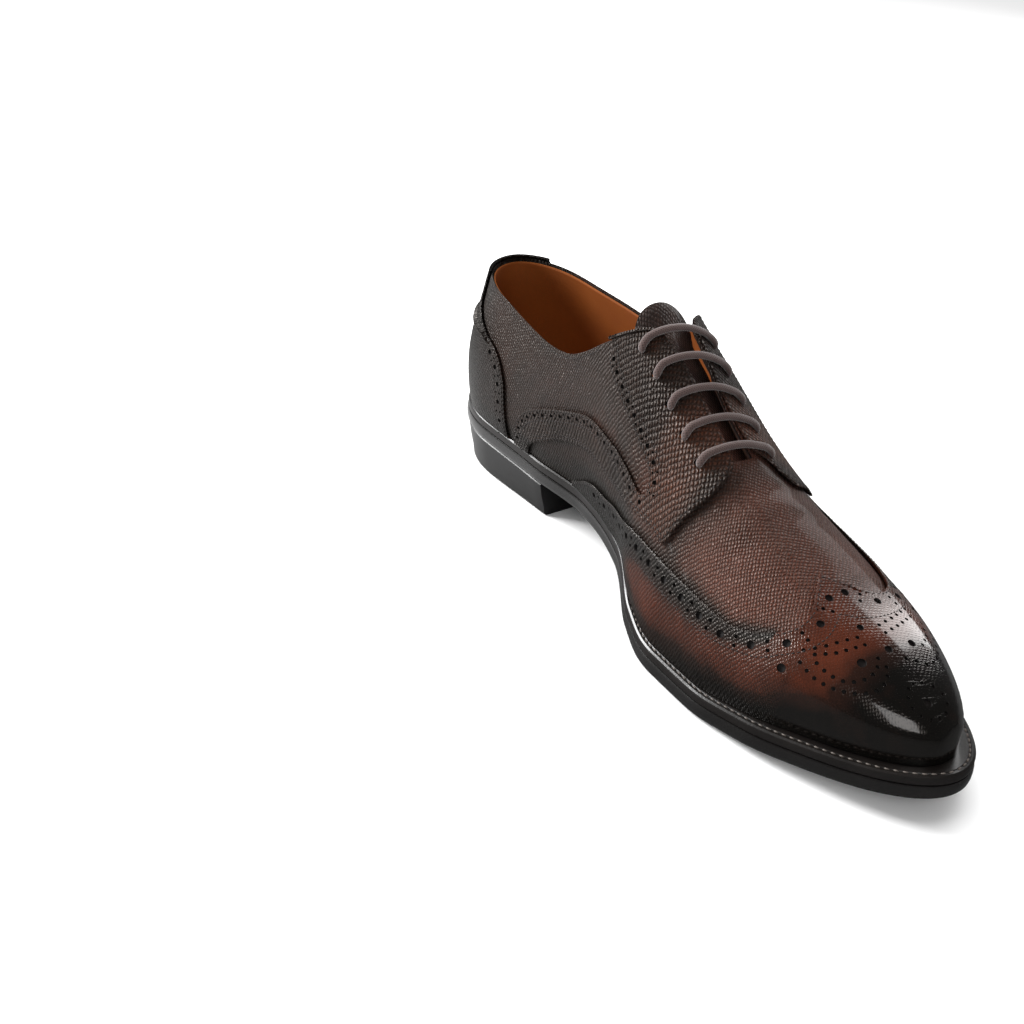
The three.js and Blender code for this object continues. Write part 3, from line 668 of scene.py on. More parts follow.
def build_burnish_and_painted_shade():
    """Polish rubbed in by hand: dark at the edges, red-brown where it is rubbed back; the furrows of the
    grain are darkened as painted shade.
    """
    tree, given, result = group(
        "burnish_and_painted_shade",
        [("Vector", "NodeSocketVector"), ("Amount", "NodeSocketFloat"), ("Pits", "NodeSocketFloat"),
         ("Light", "NodeSocketColor"), ("Middle", "NodeSocketColor"), ("Dark", "NodeSocketColor")],
        [("Color", "NodeSocketColor")],
    )
    cloud = noise(tree, given["Vector"], 34.0, 3.0)["Fac"]
    wisp = noise(tree, given["Vector"], 150.0, 3.0)["Fac"]
    patch = maths(tree, "MULTIPLY", maths(tree, "SUBTRACT", cloud, 0.5), 0.75)
    streak = maths(tree, "MULTIPLY", maths(tree, "SUBTRACT", wisp, 0.5), 0.35)
    amount = maths(tree, "ADD", given["Amount"], maths(tree, "ADD", patch, streak), clamp=True)
    near = node(tree, "ShaderNodeMapRange", {"Value": amount, "From Min": 0.0, "From Max": 0.5})
    far = node(tree, "ShaderNodeMapRange", {"Value": amount, "From Min": 0.4, "From Max": 0.95})
    rubbed = blend(tree, near.outputs[0], given["Light"], given["Middle"])
    dyed = blend(tree, far.outputs[0], rubbed, given["Dark"])
    # Painted shade: the furrows of the grain darkened towards the dark colour
    painted_furrow_shade = maths(tree, "MULTIPLY", given["Pits"], 0.6)
    feed(tree, result, {"Color": blend(tree, painted_furrow_shade, dyed, given["Dark"])})
    return tree


hatched_grain = build_hatched_grain()
burnish_and_painted_shade = build_burnish_and_painted_shade()


def new_material(name):
    material = bpy.data.materials.new(name)
    material.use_nodes = True
    tree = material.node_tree
    return material, tree, tree.nodes["Principled BSDF"]


def grained_leather(name, light, middle, dark, size=1.35, depth=0.16, rough=0.33, shine=0.42):
    material, tree, shader = new_material(name)
    flat = node(tree, "ShaderNodeUVMap", uv_map="flat").outputs[0]
    shade = node(tree, "ShaderNodeAttribute", attribute_name="burnish_and_flap_shade").outputs["Fac"]
    deep = node(tree, "ShaderNodeAttribute", attribute_name="grain").outputs["Fac"]
    grain = node(tree, "ShaderNodeGroup", {"Vector": flat, "Size": size / 1000}, node_tree=hatched_grain)
    pits = maths(tree, "MULTIPLY", grain.outputs["Pits"], deep)
    # Burnished colour, with painted shade in the grain's pits
    burnish_and_shade = node(tree, "ShaderNodeGroup", {
        "Vector": flat, "Amount": shade, "Pits": pits,
        "Light": rgb(light), "Middle": rgb(middle), "Dark": rgb(dark),
    }, node_tree=burnish_and_painted_shade)
    dull = maths(tree, "MULTIPLY", pits, 0.25)
    waxed = maths(tree, "MULTIPLY", maths(tree, "SUBTRACT", 1.0, deep), rough * 0.62)
    height = maths(tree, "MULTIPLY", grain.outputs["Height"], deep)
    bump = node(tree, "ShaderNodeBump", {"Height": height, "Strength": 1.0, "Distance": depth / 1000})
    feed(tree, shader, {
        "Base Color": burnish_and_shade.outputs["Color"],
        "Roughness": maths(tree, "SUBTRACT", maths(tree, "ADD", rough, dull), waxed, clamp=True),
        "Coat Weight": maths(tree, "SUBTRACT", 1.1, deep, clamp=True),
        "Coat Roughness": 0.08,
        "Specular IOR Level": shine,
        "Specular Tint": (1.0, 0.91, 0.84, 1.0),
        "Normal": bump.outputs[0],
    })
    return material


def plain_finish(name, colour, second, rough, mottle=60.0, bumps=900.0, depth=0.05, coat=0.0):
    """Smooth leather, edge dye or rubber: a mottled colour with a faint tooth."""
    material, tree, shader = new_material(name)
    place = node(tree, "ShaderNodeTexCoord").outputs["Object"]
    cloud = noise(tree, place, mottle, 4.0)["Fac"]
    tooth = noise(tree, place, bumps, 3.0)["Fac"]
    feed(tree, shader, {
        "Base Color": blend(tree, cloud, rgb(colour), rgb(second)),
        "Roughness": maths(tree, "ADD", maths(tree, "MULTIPLY", cloud, 0.16), rough - 0.08),
        "Coat Weight": coat,
        "Coat Roughness": 0.12,
        "Normal": node(tree, "ShaderNodeBump", {"Height": tooth, "Distance": depth / 1000}).outputs[0],
    })
    return material


def woven_lace(name, colour, second):
    """Cotton woven of two crossing sets of strands, 0.8 mm apart."""
    material, tree, shader = new_material(name)
    flat = node(tree, "ShaderNodeUVMap", uv_map="flat").outputs[0]
    strands = [bands(tree, flat, angle, Scale=STRIPE / 0.0008, Distortion=0.4) for angle in (0.7, -0.7)]
    weave = maths(tree, "MAXIMUM", *strands)
    # Painted shade: the grooves between the strands darkened towards the second colour
    feed(tree, shader, {
        "Base Color": blend(tree, weave, rgb(second), rgb(colour)),
        "Roughness": 0.85,
        "Sheen Weight": 0.35,
        "Normal": node(tree, "ShaderNodeBump", {"Height": weave, "Distance": 0.00012}).outputs[0],
    })
    return material


quarter_leather = grained_leather("quarter_leather", "583023", "2f1b13", "0d0a08", size=1.3, depth=0.4)
facing_leather = grained_leather("facing_leather", "553021", "2d1b13", "0c0908",
                                 size=1.7, depth=0.62, rough=0.3)
cap_leather = grained_leather("cap_leather", "542616", "24130d", "060504", size=1.2, depth=0.24, rough=0.25)
tongue_leather = grained_leather("tongue_leather", "4c2f26", "30201b", "141010",
                                 size=1.6, depth=0.3, rough=0.4)
# Painted shade: near-black walls and floors of the punched holes, standing for the shade inside them
painted_hole_shade = plain_finish("painted_hole_shade", "0d0a09", "171110", 0.7)
# Painted shade: the lining seen down the lacing slot coloured dark brown for the shade it lies in
shaded_slot_lining = plain_finish("shaded_slot_lining", "2a1a14", "1d120e", 0.5)
lining_leather = plain_finish("lining_leather", "94521f", "7c4019", 0.5,
                              mottle=40.0, bumps=1500.0, depth=0.06)
sole_edge = plain_finish("sole_edge", "0d0c0c", "151312", 0.24, depth=0.02, coat=0.8)
heel_finish = plain_finish("heel_finish", "0c0b0b", "131212", 0.34, depth=0.02, coat=0.1)
welt_finish = plain_finish("welt_finish", "0e0c0b", "1a1614", 0.34, depth=0.05, coat=0.15)
dark_thread = plain_finish("dark_thread", "140f0e", "241a17", 0.6, bumps=3000.0)
welt_thread = plain_finish("welt_thread", "4a4440", "6a625c", 0.6, bumps=3000.0)
lace_cloth = woven_lace("lace_cloth", "4b3834", "2a1f1d")


# Upper and lining
def station(u):
    heel = HEEL_CAP * (1 - np.cos(np.minimum(u / 0.12, 1) * np.pi / 2))
    body = HEEL_CAP + (1 - TOE_CAP - HEEL_CAP) * (u - 0.12) / 0.73
    toe = 1 - TOE_CAP * (1 - np.cos(np.minimum((1 - u) / 0.15, 1) * np.pi / 2))
    return np.where(u < 0.12, heel, np.where(u > 0.85, toe, body))


for side in (INNER, OUTER):
    padded = np.pad(edge_girths[side], 8, mode="edge")
    weights = np.exp(-np.linspace(-2, 2, 17) ** 2)
    edge_girths[side] = np.convolve(padded, weights / weights.sum(), mode="valid")

STATIONS = 250
HALF_ROWS = 44
SHELL_ROWS = 2 * HALF_ROWS + 1


def shell_place(depth, lower):
    def place(u, w):
        share = station(u)
        share = np.where(np.abs(share - THROAT) < 0.5 * 0.66 / 0.73 / STATIONS + 1e-5, THROAT, share)
        j = np.rint(w * SHELL_ROWS)
        inner = j <= HALF_ROWS
        f = np.where(inner, j, SHELL_ROWS - j) / HALF_ROWS
        f = 1 - (1 - f) ** 1.5
        low = 1 - lower * ramp(share, THROAT, THROAT - 0.02)
        limit = np.minimum(share, THROAT)
        girth = np.where(inner, f * edge_at(limit, INNER) * low, 1 - f * (1 - edge_at(limit, OUTER)) * low)
        rolled = 0.45 * np.maximum(1 - (1 - f) * 100 / 0.8, 0) ** 2 * (share < THROAT)
        return share, girth, depth - rolled

    return place


def shell_faces(u, w):
    share = station(u)
    j = np.rint(w * SHELL_ROWS)

    def stays(face):
        rows = [j[v.index] for v in face.verts]
        middle = min(rows) == HALF_ROWS and max(rows) == HALF_ROWS + 1
        return not (middle and max(share[v.index] for v in face.verts) < THROAT + 0.003)

    return stays


def eyelet_rows():
    found = {}
    for side in (INNER, OUTER):
        y = FIRST_EYELET - np.arange(EYELET_COUNT) * EYELET_PITCH - (OUTER_EYELETS_BACK if side > 0 else 0)
        share = (UPPER_BACK - y) / (UPPER_BACK - UPPER_FRONT)
        girth = girth_at_x(share, LACING_CENTRE + side * EYELET_SPREAD / 2)
        found[side] = (share, girth)
    return found


eyelets = eyelet_rows()
lace_holes = [h for side in (INNER, OUTER) for h in holes_at(*eyelets[side], 2.0, depth=5.5)]

leather_piece("quarters_and_vamp", "upper", STATIONS, SHELL_ROWS, shell_place(0.0, 0.0), QUARTER_WALL,
              (quarter_leather, painted_hole_shade), holes=lace_holes, replaces=("upper",), keep=shell_faces)
lining = leather_piece("lining", "lining", STATIONS, SHELL_ROWS, shell_place(-1.28, 0.006), LINING_WALL,
                       (lining_leather, painted_hole_shade), holes=lace_holes,
                       replaces=("upper",), keep=shell_faces)
# Lining forward of the collar gets the painted shade of the lacing slot
lining.data.materials.append(shaded_slot_lining)
SLOT_LINING_SHARE = 0.397
slot_start = (UPPER_BACK - SLOT_LINING_SHARE * (UPPER_BACK - UPPER_FRONT) + ROW_SHIFT) / 1000
for polygon in lining.data.polygons:
    if polygon.center.y < slot_start and polygon.material_index == 0:
        polygon.material_index = 2


def tongue_place(u, w):
    side = np.abs(2 * w - 1)
    start = 0.4 + 0.016 * side**3
    share = start + (0.685 - start) * u
    spread = 0.125 - 0.025 * u
    middle = girth_at_x(share, LACING_CENTRE + 1.5)
    deep = (UPPER_WALL + LACE_WIDTH + 1.2) / 0.86
    rise = ramp(share, 0.625, 0.668) * (deep - 2.7) + 3.2 * ramp(share, 0.432, 0.402)
    return share, middle + (2 * w - 1) * spread, rise - deep


leather_piece("tongue_leather_piece", "upper", 70, 44, tongue_place, TONGUE_WALL,
              (tongue_leather, painted_hole_shade), replaces=("tongue",), dark=-0.1)


# Panels
def teeth(mm, depth=0.5):
    """Bite of a gimped edge at a distance along it."""
    return depth * np.abs(2 * ((mm / TOOTH_PITCH) % 1) - 1)


def columns_for(trace):
    """Four columns of the grid to a tooth."""
    return int(round(trace.length / TOOTH_PITCH)) * 4


def outer_side(rows):
    return [[row[0], 1 - row[1], *row[2:]] for row in rows]


wing_inner = Trace(WING_INNER)
wing_outer = Trace(outer_side(WING_OUTER))
wing_edge = Trace(WING_INNER, outer_side(WING_OUTER)[::-1])


def along_of(trace, rows):
    """Distance along a trace of the point nearest to each row."""
    apart = [(trace.share - row[0]) ** 2 + (trace.girth - row[1]) ** 2 for row in rows]
    return np.array([trace.at[np.argmin(squares)] for squares in apart])


wing_rows = WING_INNER + outer_side(WING_OUTER)[::-1][1:]
wing_marks = along_of(wing_edge, wing_rows)
wing_feet = np.array([row[2] for row in wing_rows])
wing_peak = wing_marks[len(WING_INNER) - 1]


def wing_place(u, w):
    mm = u * wing_edge.length
    bite = teeth(mm) * ramp(np.abs(mm - wing_peak), 0.5, 2.5)
    share, girth = wing_edge.aside(mm, -bite)
    foot = np.interp(mm, wing_marks, wing_feet)
    end = np.where(mm < wing_peak, 0.0, 1.0)
    f = w**1.5
    x = (girth - 0.5) * toe_turn(share) * (1 - f) + (end - 0.5) * toe_turn(foot) * f
    s = share * (1 - f) + foot * f
    g = np.clip(0.5 + x / np.maximum(toe_turn(s), 1e-4), 0, 1)
    reach = np.linalg.norm(last(share, girth) - last(foot, end), axis=-1) * 1000
    return s, g, PANEL_TOP - 0.35 * np.maximum(1 - f * reach / 0.8, 0) ** 2


MEDALLION = [
    (0.83, 0.198, 1.8), (0.888, 0.388, 1.9), (0.85, 0.48, 1.5), (0.888, 0.503, 1.7), (0.89, 0.59, 1.7),
    (0.96, 0.487, 1.7), (0.836, 0.738, 1.6),
]
medallion = []
for share, girth, radius in MEDALLION:
    medallion += holes_at(share, girth, radius)
LOOPS = [
    [(0.842, 0.25), (0.868, 0.225), (0.895, 0.24), (0.915, 0.29), (0.922, 0.35), (0.918, 0.41),
     (0.905, 0.45)],
    [(0.856, 0.28), (0.875, 0.27), (0.895, 0.29), (0.905, 0.35), (0.903, 0.41), (0.892, 0.45)],
    [(0.848, 0.3), (0.862, 0.35), (0.868, 0.4), (0.872, 0.45)],
    [(0.836, 0.29), (0.849, 0.35), (0.855, 0.4), (0.86, 0.45)],
    [(0.905, 0.53), (0.92, 0.6), (0.912, 0.68), (0.88, 0.74), (0.85, 0.77)],
    [(0.895, 0.63), (0.88, 0.69), (0.86, 0.715)],
    [(0.868, 0.53), (0.862, 0.6), (0.852, 0.67)],
    [(0.856, 0.53), (0.85, 0.6), (0.84, 0.67)],
]
for loop in LOOPS:
    line = Trace(loop)
    count = max(int(line.length / 3.7), 1)
    at = np.linspace(0.3, line.length - 0.3, count + 1)
    medallion += holes_at(*line.point(at), 0.85)
tear = np.linspace(0, 2 * np.pi, 13)[:-1]
tear_girth = 0.49 + 0.1 * np.sin(tear) * (1 + 0.35 * np.cos(tear))
medallion += holes_at(0.957 + 0.022 * np.cos(tear), tear_girth, 0.75)

wing_lines = ((wing_inner, -1), (wing_outer, 1))
wing_holes = []
for line, into in wing_lines:
    wing_holes += brogue_row(line, into * 5.2, 10.5, 1.7, 0.85, first=16, end=line.length - 5, spread=1.7)
leather_piece("wing_cap_panel", "cap", columns_for(wing_edge), 42, wing_place, PANEL_WALL,
              (cap_leather, painted_hole_shade), holes=wing_holes + medallion, replaces=("wing_cap",), dark=0.05)

WING_SEAM = [
    (0.42, 0.02), (0.446, 0.026), (0.52, 0.077), (0.566, 0.115), (0.602, 0.132), (0.636, 0.138),
    (0.686, 0.138), (0.73, 0.145), (0.768, 0.16), (0.804, 0.193), (0.82, 0.233), (0.84, 0.305),
    (0.842, 0.378), (0.834, 0.43), (0.824, 0.462),
]
WING_SEAM_OUTER = [
    (0.824, 0.462), (0.838, 0.5), (0.846, 0.562), (0.842, 0.635), (0.828, 0.703), (0.802, 0.77), (0.75, 0.83),
    (0.69, 0.855), (0.63, 0.87), (0.57, 0.885), (0.52, 0.92), (0.45, 0.965),
]
for run in (WING_SEAM, WING_SEAM_OUTER):
    stitch_row(Trace(run), 0.0, 1.9)
for line, into in wing_lines:
    stitch_row(line, into * 1.3, 2.1, end=line.length - 1.5)

counter_top = float(edge_at(0.04, INNER))
counter_girths = np.linspace(0, counter_top, 19)
counter_edge = Trace([(float(counter_reach(g)), g) for g in counter_girths])


def counter_place(u, w):
    mm = u * counter_edge.length
    share, girth = counter_edge.aside(mm, teeth(mm))
    t = 2 * w - 1
    share = share * (1 - np.cos(np.abs(t) * np.pi / 2))
    inner = t < 0
    limit = np.where(inner, edge_at(share, INNER), 1 - edge_at(share, OUTER))
    girth = np.clip(girth, 0, 1) + (limit - counter_top) * ramp(u, 0.7, 1.0)
    away = (1 - np.abs(t)) * 30
    return share, np.where(inner, girth, 1 - girth), PANEL_TOP - 0.35 * np.maximum(1 - away / 0.9, 0) ** 2


counter_outer = Trace([(s, 1 - g) for s, g in ((float(counter_reach(g)), g) for g in counter_girths)])
counter_lines = ((counter_edge, 1), (counter_outer, -1))
counter_holes = []
for line, into in counter_lines:
    counter_holes += brogue_row(line, into * 4.0, 8.3, 1.3, 0.65, first=3, end=line.length - 38, spread=1.3)
leather_piece("heel_counter_panel", "cap", columns_for(counter_edge), 60, counter_place, PANEL_WALL,
              (cap_leather, painted_hole_shade), holes=counter_holes, replaces=("heel_counter",), dark=0.1)
for line, into in counter_lines:
    stitch_row(line, into * 1.3, 2.1, end=line.length - 12)
    stitch_row(line, into * 6.9, 2.1, end=line.length - 40)


EDGE_ROWS = 6  # rows of the facing that start on the open edge
FRONT_CORNER = 11  # row at the lowest point of its front edge


def facing_panel(side):
    into = -side

    def flip(girth):
        girth = np.asarray(girth, float)
        return girth if side < 0 else 1 - np.where(girth < 0.3, girth, 0.3 + (girth - 0.3) * 0.65)

    outer, inner = [], []
    for k, (share, girth, share2, girth2) in enumerate(FACING):
        if side > 0:
            share += 0.014 * float(bell(k, 8.5, 1.6))
        outer.append((share, float(edge_at(share, side) if k < EDGE_ROWS else flip(girth))))
        inner.append((share2, float(edge_at(share2, side) if k == 0 else flip(girth2))))
    front, back = Trace(outer), Trace(inner)
    k_back, k_front = along_of(back, inner), along_of(front, outer)
    count = np.arange(len(outer))

    def place(u, w):
        mm = u * back.length
        k = np.interp(mm, k_back, count)
        s1, g1 = back.aside(mm, into * teeth(mm))
        s0, g0 = front.point(np.interp(k, count, k_front))
        g0 = np.where(k < EDGE_ROWS - 1, edge_at(s0, side), g0)
        f = w - 0.09 * np.sin(2 * np.pi * w)
        share, girth = s0 + (s1 - s0) * f, g0 + (g1 - g0) * f
        girth = np.where(k < 1, girth * k + edge_at(share, side) * (1 - k), girth)
        girth = np.clip(girth, 0, 1)
        wide = np.linalg.norm(last(s0, g0) - last(s1, g1), axis=-1) * 1000
        away = np.minimum(f, 1 - f) * wide
        away = np.where((k < 1) & (f > 0.02) & (f < 0.98), np.minimum(away, k * 10), away)
        return share, girth, PANEL_TOP - 0.4 * np.maximum(1 - away / 0.9, 0) ** 2

    name = "facing_panel_inner" if side < 0 else "facing_panel_outer"
    node_name = "facing_inner" if side < 0 else "facing_outer"
    rows = brogue_row(back, into * 3.4, 6.6, 1.05, 0.55, first=6, end=back.length - 2, spread=1.1)
    eyes = holes_at(*eyelets[side], 1.9, depth=3.2)
    leather_piece(name, "facing", columns_for(back), 30, place, PANEL_WALL,
                  (facing_leather, painted_hole_shade), holes=rows + eyes, replaces=(node_name,), dark=0.06,
                  coarse=1.1)
    stitch_row(back, into * 1.2, 2.0)
    stitch_row(back, into * 5.9, 2.0, first=4)
    stitch_row(front, -into * 1.6, 2.0, first=2, end=k_front[FRONT_CORNER] - 3)
    stitch_row(front, -into * 1.3, 2.0, first=k_front[FRONT_CORNER] + 2)
    stitch_row(front, -into * 2.8, 2.0, first=k_front[FRONT_CORNER] + 4)


for side in (INNER, OUTER):
    facing_panel(side)
    collar = Trace([(s, float(edge_at(s, side))) for s in np.linspace(0.012, 0.385, 26)])
    stitch_row(collar, side * 2.2, 2.0, out=0.0)
stitches("seam_stitches", "upper", dark_thread, seams)


# Sole, welt and heel
def sole_line(share, side, inset):
    foot = np.where(side < 0, foot_in(share), foot_out(share)) * HALF
    margin = np.where(side < 0, margin_in(share), margin_out(share))
    x = centre(share) * HALF + side * heel_turn(share) * toe_turn(share) * (foot + margin - inset)
    return x, SHOE_LENGTH / 2 - inset - (SHOE_LENGTH - 2 * inset) * share


def stand(x, y, z):
    return np.stack([x, y + ROW_SHIFT, z], -1) / 1000


def closed_piece(bm, name, slot, material, angle, replaces=()):
    bmesh.ops.remove_doubles(bm, verts=bm.verts[:], dist=3e-6)
    bmesh.ops.dissolve_degenerate(bm, edges=bm.edges[:], dist=1e-6)
    rims = [e for e in bm.edges if e.is_boundary]
    if rims:
        bmesh.ops.holes_fill(bm, edges=rims, sides=0)
    bmesh.ops.recalc_face_normals(bm, faces=bm.faces[:])
    piece = as_piece(bm, name, slot, material)
    settle(piece, angle)
    if replaces:
        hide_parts(*replaces)
    return piece


def profile_piece(name, slot, material, shares, profile, rise, replaces, angle=30):
    """A closed slab: a profile of (inset, height) up the inner side and down the outer side at each share."""
    insets = np.array([p[0] for p in profile] + [p[0] for p in profile[::-1]] + [profile[0][0]])
    levels = np.array([p[1] for p in profile] + [p[1] for p in profile[::-1]] + [profile[0][1]])
    sides = np.array([-1] * len(profile) + [1] * len(profile) + [-1])
    bm, u, w = start_grid(len(shares) - 1, len(insets) - 1)
    i, j = np.rint(u * (len(shares) - 1)).astype(int), np.rint(w * (len(insets) - 1)).astype(int)
    x, y = sole_line(shares[i], sides[j], insets[j])
    move_to(bm, stand(x, y, rise(y, levels[j])))
    return closed_piece(bm, name, slot, material, angle, replaces)


sole_shares = station(np.linspace(0, 1, 200))
sole_profile = [(1.9, 0), (0.7, 0.35), (0.2, 1.1), (0, 2.3), (0, 4.2), (0.15, 5.4), (0.5, 6.2), (1.1, 6.5)]
profile_piece("outsole_leather", "sole", sole_edge, sole_shares, sole_profile,
              lambda y, z: ground(y) + z, ("outsole",))
breast = HEEL_LENGTH / SHOE_LENGTH
heel_shares = np.concatenate([HEEL_CAP * (1 - np.cos(np.linspace(0, 1, 40) * np.pi / 2)),
                              np.linspace(HEEL_CAP, breast, 24)[1:]])
heel_profile = [(4.4, 0), (3.4, 0.04), (2.95, 0.26), (1.7, 0.62), (0.95, 0.94), (0.8, 0.975), (1.2, 1.0)]
profile_piece("heel_block", "sole", heel_finish, heel_shares, heel_profile,
              lambda y, f: f * (ground(y) - GAP), ("heel",), angle=32)


def welt_ring():
    base, top = SOLE_THICKNESS + GAP, SOLE_THICKNESS + GAP + WELT_THICKNESS
    profile = [(None, base), (0.5, base), (0.5, top - 1.2), (0.8, top - 0.5), (1.5, top), (2.2, top - 0.02),
               (2.5, top - 0.3), (2.9, top - 0.3), (3.2, top), (None, top), (None, base)]
    columns, rows = 360, len(profile) - 1
    bm, u, w = start_grid(columns, rows)
    j = np.rint(w * rows).astype(int)
    side = np.where(u < 0.5, -1, 1)
    share = station(np.where(u < 0.5, 2 * u, 2 - 2 * u))
    levels = np.array([p[1] for p in profile])[j]
    insets = np.array([0.0 if p[0] is None else p[0] for p in profile])[j]
    at_foot = np.array([p[0] is None for p in profile])[j]
    x, y = sole_line(share, side, insets)
    foot = last(share, np.where(side < 0, 0.0, 1.0), -UPPER_WALL) * 1000
    fx, fy = foot[:, 0], foot[:, 1] - ROW_SHIFT
    x, y = np.where(at_foot, fx, x), np.where(at_foot, fy, y)
    move_to(bm, stand(x, y, ground(y) + levels))
    return closed_piece(bm, "welt_strip", "sole", welt_finish, 28, ("welt",))


welt_ring()


def welt_stitches():
    marks = []
    for side in (-1, 1):
        u = np.linspace(0.0, 1.0, 900)
        share = station(u)
        x, y = sole_line(share, side, 2.7)
        top = ground(y) + SOLE_THICKNESS + GAP + WELT_THICKNESS
        path = stand(x, y, top - 0.12)
        at = lengths(path) * 1000
        room = np.where(side < 0, margin_in(share), margin_out(share))
        for mm in np.arange(1.5, at[-1], 3.1):
            if np.interp(mm, at, room) < 3.2:
                continue
            p = np.array([np.interp(mm, at, path[:, k]) for k in range(3)])
            q = np.array([np.interp(mm + 0.5, at, path[:, k]) for k in range(3)])
            marks.append((p, (0, 0, 1), q - p, (0.42, 1.15, 0.3)))
    return marks


stitches("welt_stitches", "sole", welt_thread, welt_stitches())


# Laces
def lace_tube(bm, path, up, wide=1.6, thick=1.2, sides=12):
    """A soft flat cord along a path, with its broad side towards `up`."""
    steps = len(path)
    at = lengths(path)
    piece, u, w = start_grid(steps - 1, sides)
    uv = piece.loops.layers.uv.new("flat")
    i = np.rint(u * (steps - 1)).astype(int)
    tangent = np.gradient(path, axis=0)
    tangent /= np.linalg.norm(tangent, axis=1, keepdims=True)
    across = np.cross(tangent, up)
    across /= np.linalg.norm(across, axis=1, keepdims=True)
    normal = np.cross(across, tangent)
    turn = 2 * np.pi * w
    x, z = np.cos(turn), np.sin(turn)
    places = path[i] + across[i] * (x * wide / 1000)[:, None] + normal[i] * (z * thick / 1000)[:, None]
    move_to(piece, places)
    for k, v in enumerate(piece.verts):
        for loop in v.link_loops:
            loop[uv].uv = (at[i[k]], w[k] * 0.0082)
    mesh = bpy.data.meshes.new("lace_part")
    bmesh.ops.remove_doubles(piece, verts=piece.verts[:], dist=2e-6)
    rims = [e for e in piece.edges if e.is_boundary]
    bmesh.ops.holes_fill(piece, edges=rims, sides=0)
    bmesh.ops.recalc_face_normals(piece, faces=piece.faces[:])
    piece.to_mesh(mesh)
    piece.free()
    bm.from_mesh(mesh)
    bpy.data.meshes.remove(mesh)


def smooth_path(points, steps):
    points = np.array(points)
    at = lengths(points)
    fine = np.linspace(0, at[-1], steps)
    return np.stack([through(at, points[:, k], fine) for k in range(3)], -1)


def lacing():
    bm = bmesh.new()
    bm.loops.layers.uv.new("flat")
    above = PANEL_TOP + 1.3
    below = -(UPPER_WALL + LACE_WIDTH / 2 + 0.6)
    ends = {}
    for side in (INNER, OUTER):
        share, girth = eyelets[side]
        ends[side] = (share, girth, last(share, girth), slopes(share, girth)[2])
    for row in range(EYELET_COUNT):
        (s0, g0, p0, n0), (s1, g1, p1, n1) = ([part[row] for part in ends[side]] for side in (INNER, OUTER))
        f = np.array([0.1, 0.2, 0.32, 0.44, 0.56, 0.68, 0.8, 0.9])
        x = (p0[0] + (p1[0] - p0[0]) * f) * 1000
        share = s0 + (s1 - s0) * f
        over = last(share, girth_at_x(share, x), above + 0.2 - 0.9 * np.sin(np.pi * f) ** 2)
        points = [p0 + n0 * below / 1000, p0 - n0 * 0.0005, p0 + n0 * (above - 0.9) / 1000, *over,
                  p1 + n1 * (above - 0.9) / 1000, p1 - n1 * 0.0005, p1 + n1 * below / 1000]
        path = smooth_path(points, 74)
        middle = slopes(share[3], girth_at_x(share[3], x[3]))[2]
        t = np.linspace(-1, 1, len(path))[:, None]
        aim = np.where(t < 0, p0 - p1, p1 - p0)
        aim = aim / np.linalg.norm(aim, axis=1, keepdims=True)
        bend = ramp(np.abs(t), 0.62, 0.86)
        up = middle * (1 - bend) + aim * bend
        lace_tube(bm, path, up)
    for row in range(EYELET_COUNT - 1):
        side = OUTER if row % 2 == 0 else INNER
        points, normals = ends[side][2:]
        a, b = (points[k] + normals[k] * below / 1000 for k in (row, row + 1))
        path = np.linspace(0, 1, 8)[:, None] * (b - a) + a
        lace_tube(bm, path, np.repeat(normals[row][None], 8, 0), 1.45, 1.0)
    piece = as_piece(bm, "lace_bars", "lace", lace_cloth)
    settle(piece, 80)
    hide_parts("laces")


lacing()

insole_materials = frame["nodes"]["insole"].data.materials
insole_materials.clear()
insole_materials.append(lining_leather)


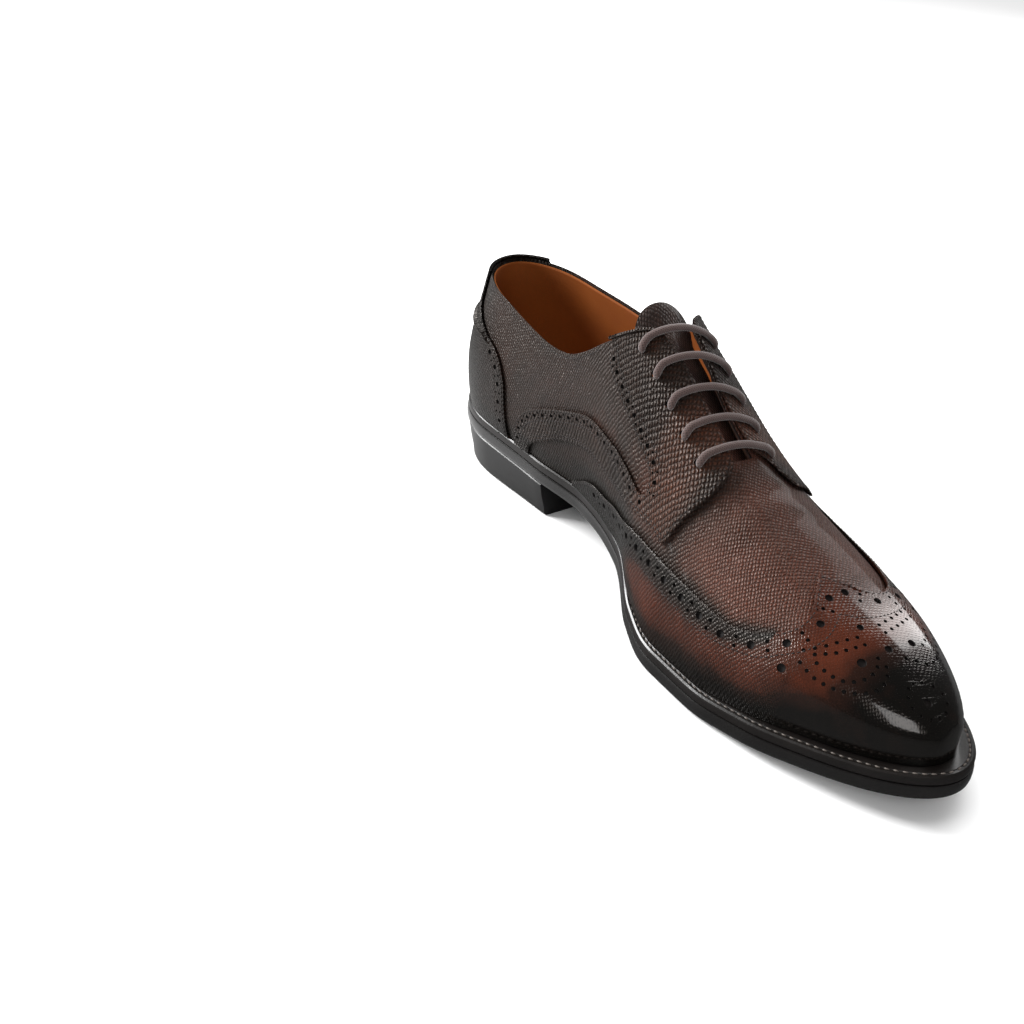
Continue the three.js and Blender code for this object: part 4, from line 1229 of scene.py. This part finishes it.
# Studio: pale floor, soft light and the camera at the photograph's angle
def studio():
    floor = bpy.data.meshes.new("floor")
    bm = bmesh.new()
    bmesh.ops.create_grid(bm, x_segments=2, y_segments=2, size=6.0)
    bm.to_mesh(floor)
    bm.free()
    ground_plane = bpy.data.objects.new("floor", floor)
    ground_plane.location.z = -0.0002
    bpy.context.scene.collection.objects.link(ground_plane)
    material, tree, shader = new_material("pale_floor")
    shine = node(tree, "ShaderNodeLightPath").outputs["Is Glossy Ray"]
    place = node(tree, "ShaderNodeTexCoord").outputs["Object"]
    # Painted reflection: glossy rays see the floor dark, with a brighter patch beside the inner side of the
    # heel that brightens the reflections in the heel and sole edge; camera and diffuse rays see it evenly
    # pale
    heel_side = (-0.08, 0.05, 0.0)
    apart = node(tree, "ShaderNodeVectorMath", {0: place, 1: heel_side}, operation="DISTANCE")
    mirrored = node(tree, "ShaderNodeMapRange", {
        "Value": apart.outputs["Value"], "From Min": 0.07, "From Max": 0.17, "To Min": 0.34, "To Max": 0.06,
    })
    feed(tree, shader, {
        "Base Color": blend(tree, shine, (0.94, 0.94, 0.94, 1), mirrored.outputs[0]),
        "Roughness": 0.7,
        "Specular IOR Level": 0.1,
    })
    floor.materials.append(material)
    world = bpy.data.worlds.new("studio")
    bpy.context.scene.world = world
    world.use_nodes = True
    sky = world.node_tree
    path = node(sky, "ShaderNodeLightPath")
    seen = maths(sky, "MULTIPLY", path.outputs["Is Camera Ray"], 0.6)
    mirrored = maths(sky, "MULTIPLY", path.outputs["Is Glossy Ray"], -0.34)
    glow = maths(sky, "ADD", maths(sky, "ADD", seen, mirrored), 0.4)
    sky.nodes["Background"].inputs["Color"].default_value = (1, 1, 1, 1)
    sky.links.new(glow, sky.nodes["Background"].inputs["Strength"])
    lights = [
        ("window", (-0.66, 0.85, 0.72), (0.6, 0.5), 31),
        ("strip", (-1.15, 0.75, 0.36), (0.5, 0.35), 6),
        ("front", (-0.6, -0.95, 0.75), (0.55, 0.7), 3),
        ("top", (0.1, 0.1, 1.5), (1.2, 1.2), 19),
        ("right", (1.0, 0.2, 0.55), (0.5, 0.8), 5),
    ]
    for name, place, size, power in lights:
        data = bpy.data.lights.new(name, "AREA")
        data.shape = "RECTANGLE"
        data.size, data.size_y = size
        data.energy = power
        lamp = bpy.data.objects.new(name, data)
        lamp.location = place
        lamp.visible_glossy = name != "top"
        aim = Vector((0, -0.12, 0.04)) - Vector(place)
        lamp.rotation_euler = aim.to_track_quat("-Z", "Y").to_euler()
        bpy.context.scene.collection.objects.link(lamp)


def photo_camera():
    azimuth, elevation, roll = math.radians(-32.5), math.radians(33.3), math.radians(2.97)
    level = math.cos(elevation)
    back = Vector((math.sin(azimuth) * level, -math.cos(azimuth) * level, math.sin(elevation)))
    right = Vector((math.cos(azimuth), math.sin(azimuth), 0))
    up = back.cross(right)
    rows = (right * math.cos(roll) + up * math.sin(roll), up * math.cos(roll) - right * math.sin(roll), back)
    turn = Matrix(rows).transposed()
    place = -(turn @ Vector((73.7, -29.3, -550.9))) / 1000
    data = bpy.data.cameras.new("photo_camera")
    data.sensor_width = 36
    data.lens = 36 * 1271 / 1024
    data.clip_start = 0.02
    camera = bpy.data.objects.new("photo_camera", data)
    camera.matrix_world = Matrix.Translation(place + Vector((0, ROW_SHIFT / 1000, 0))) @ turn.to_4x4()
    bpy.context.scene.collection.objects.link(camera)
    bpy.context.scene.camera = camera


studio()
photo_camera()
bpy.context.scene.view_settings.view_transform = "Standard"
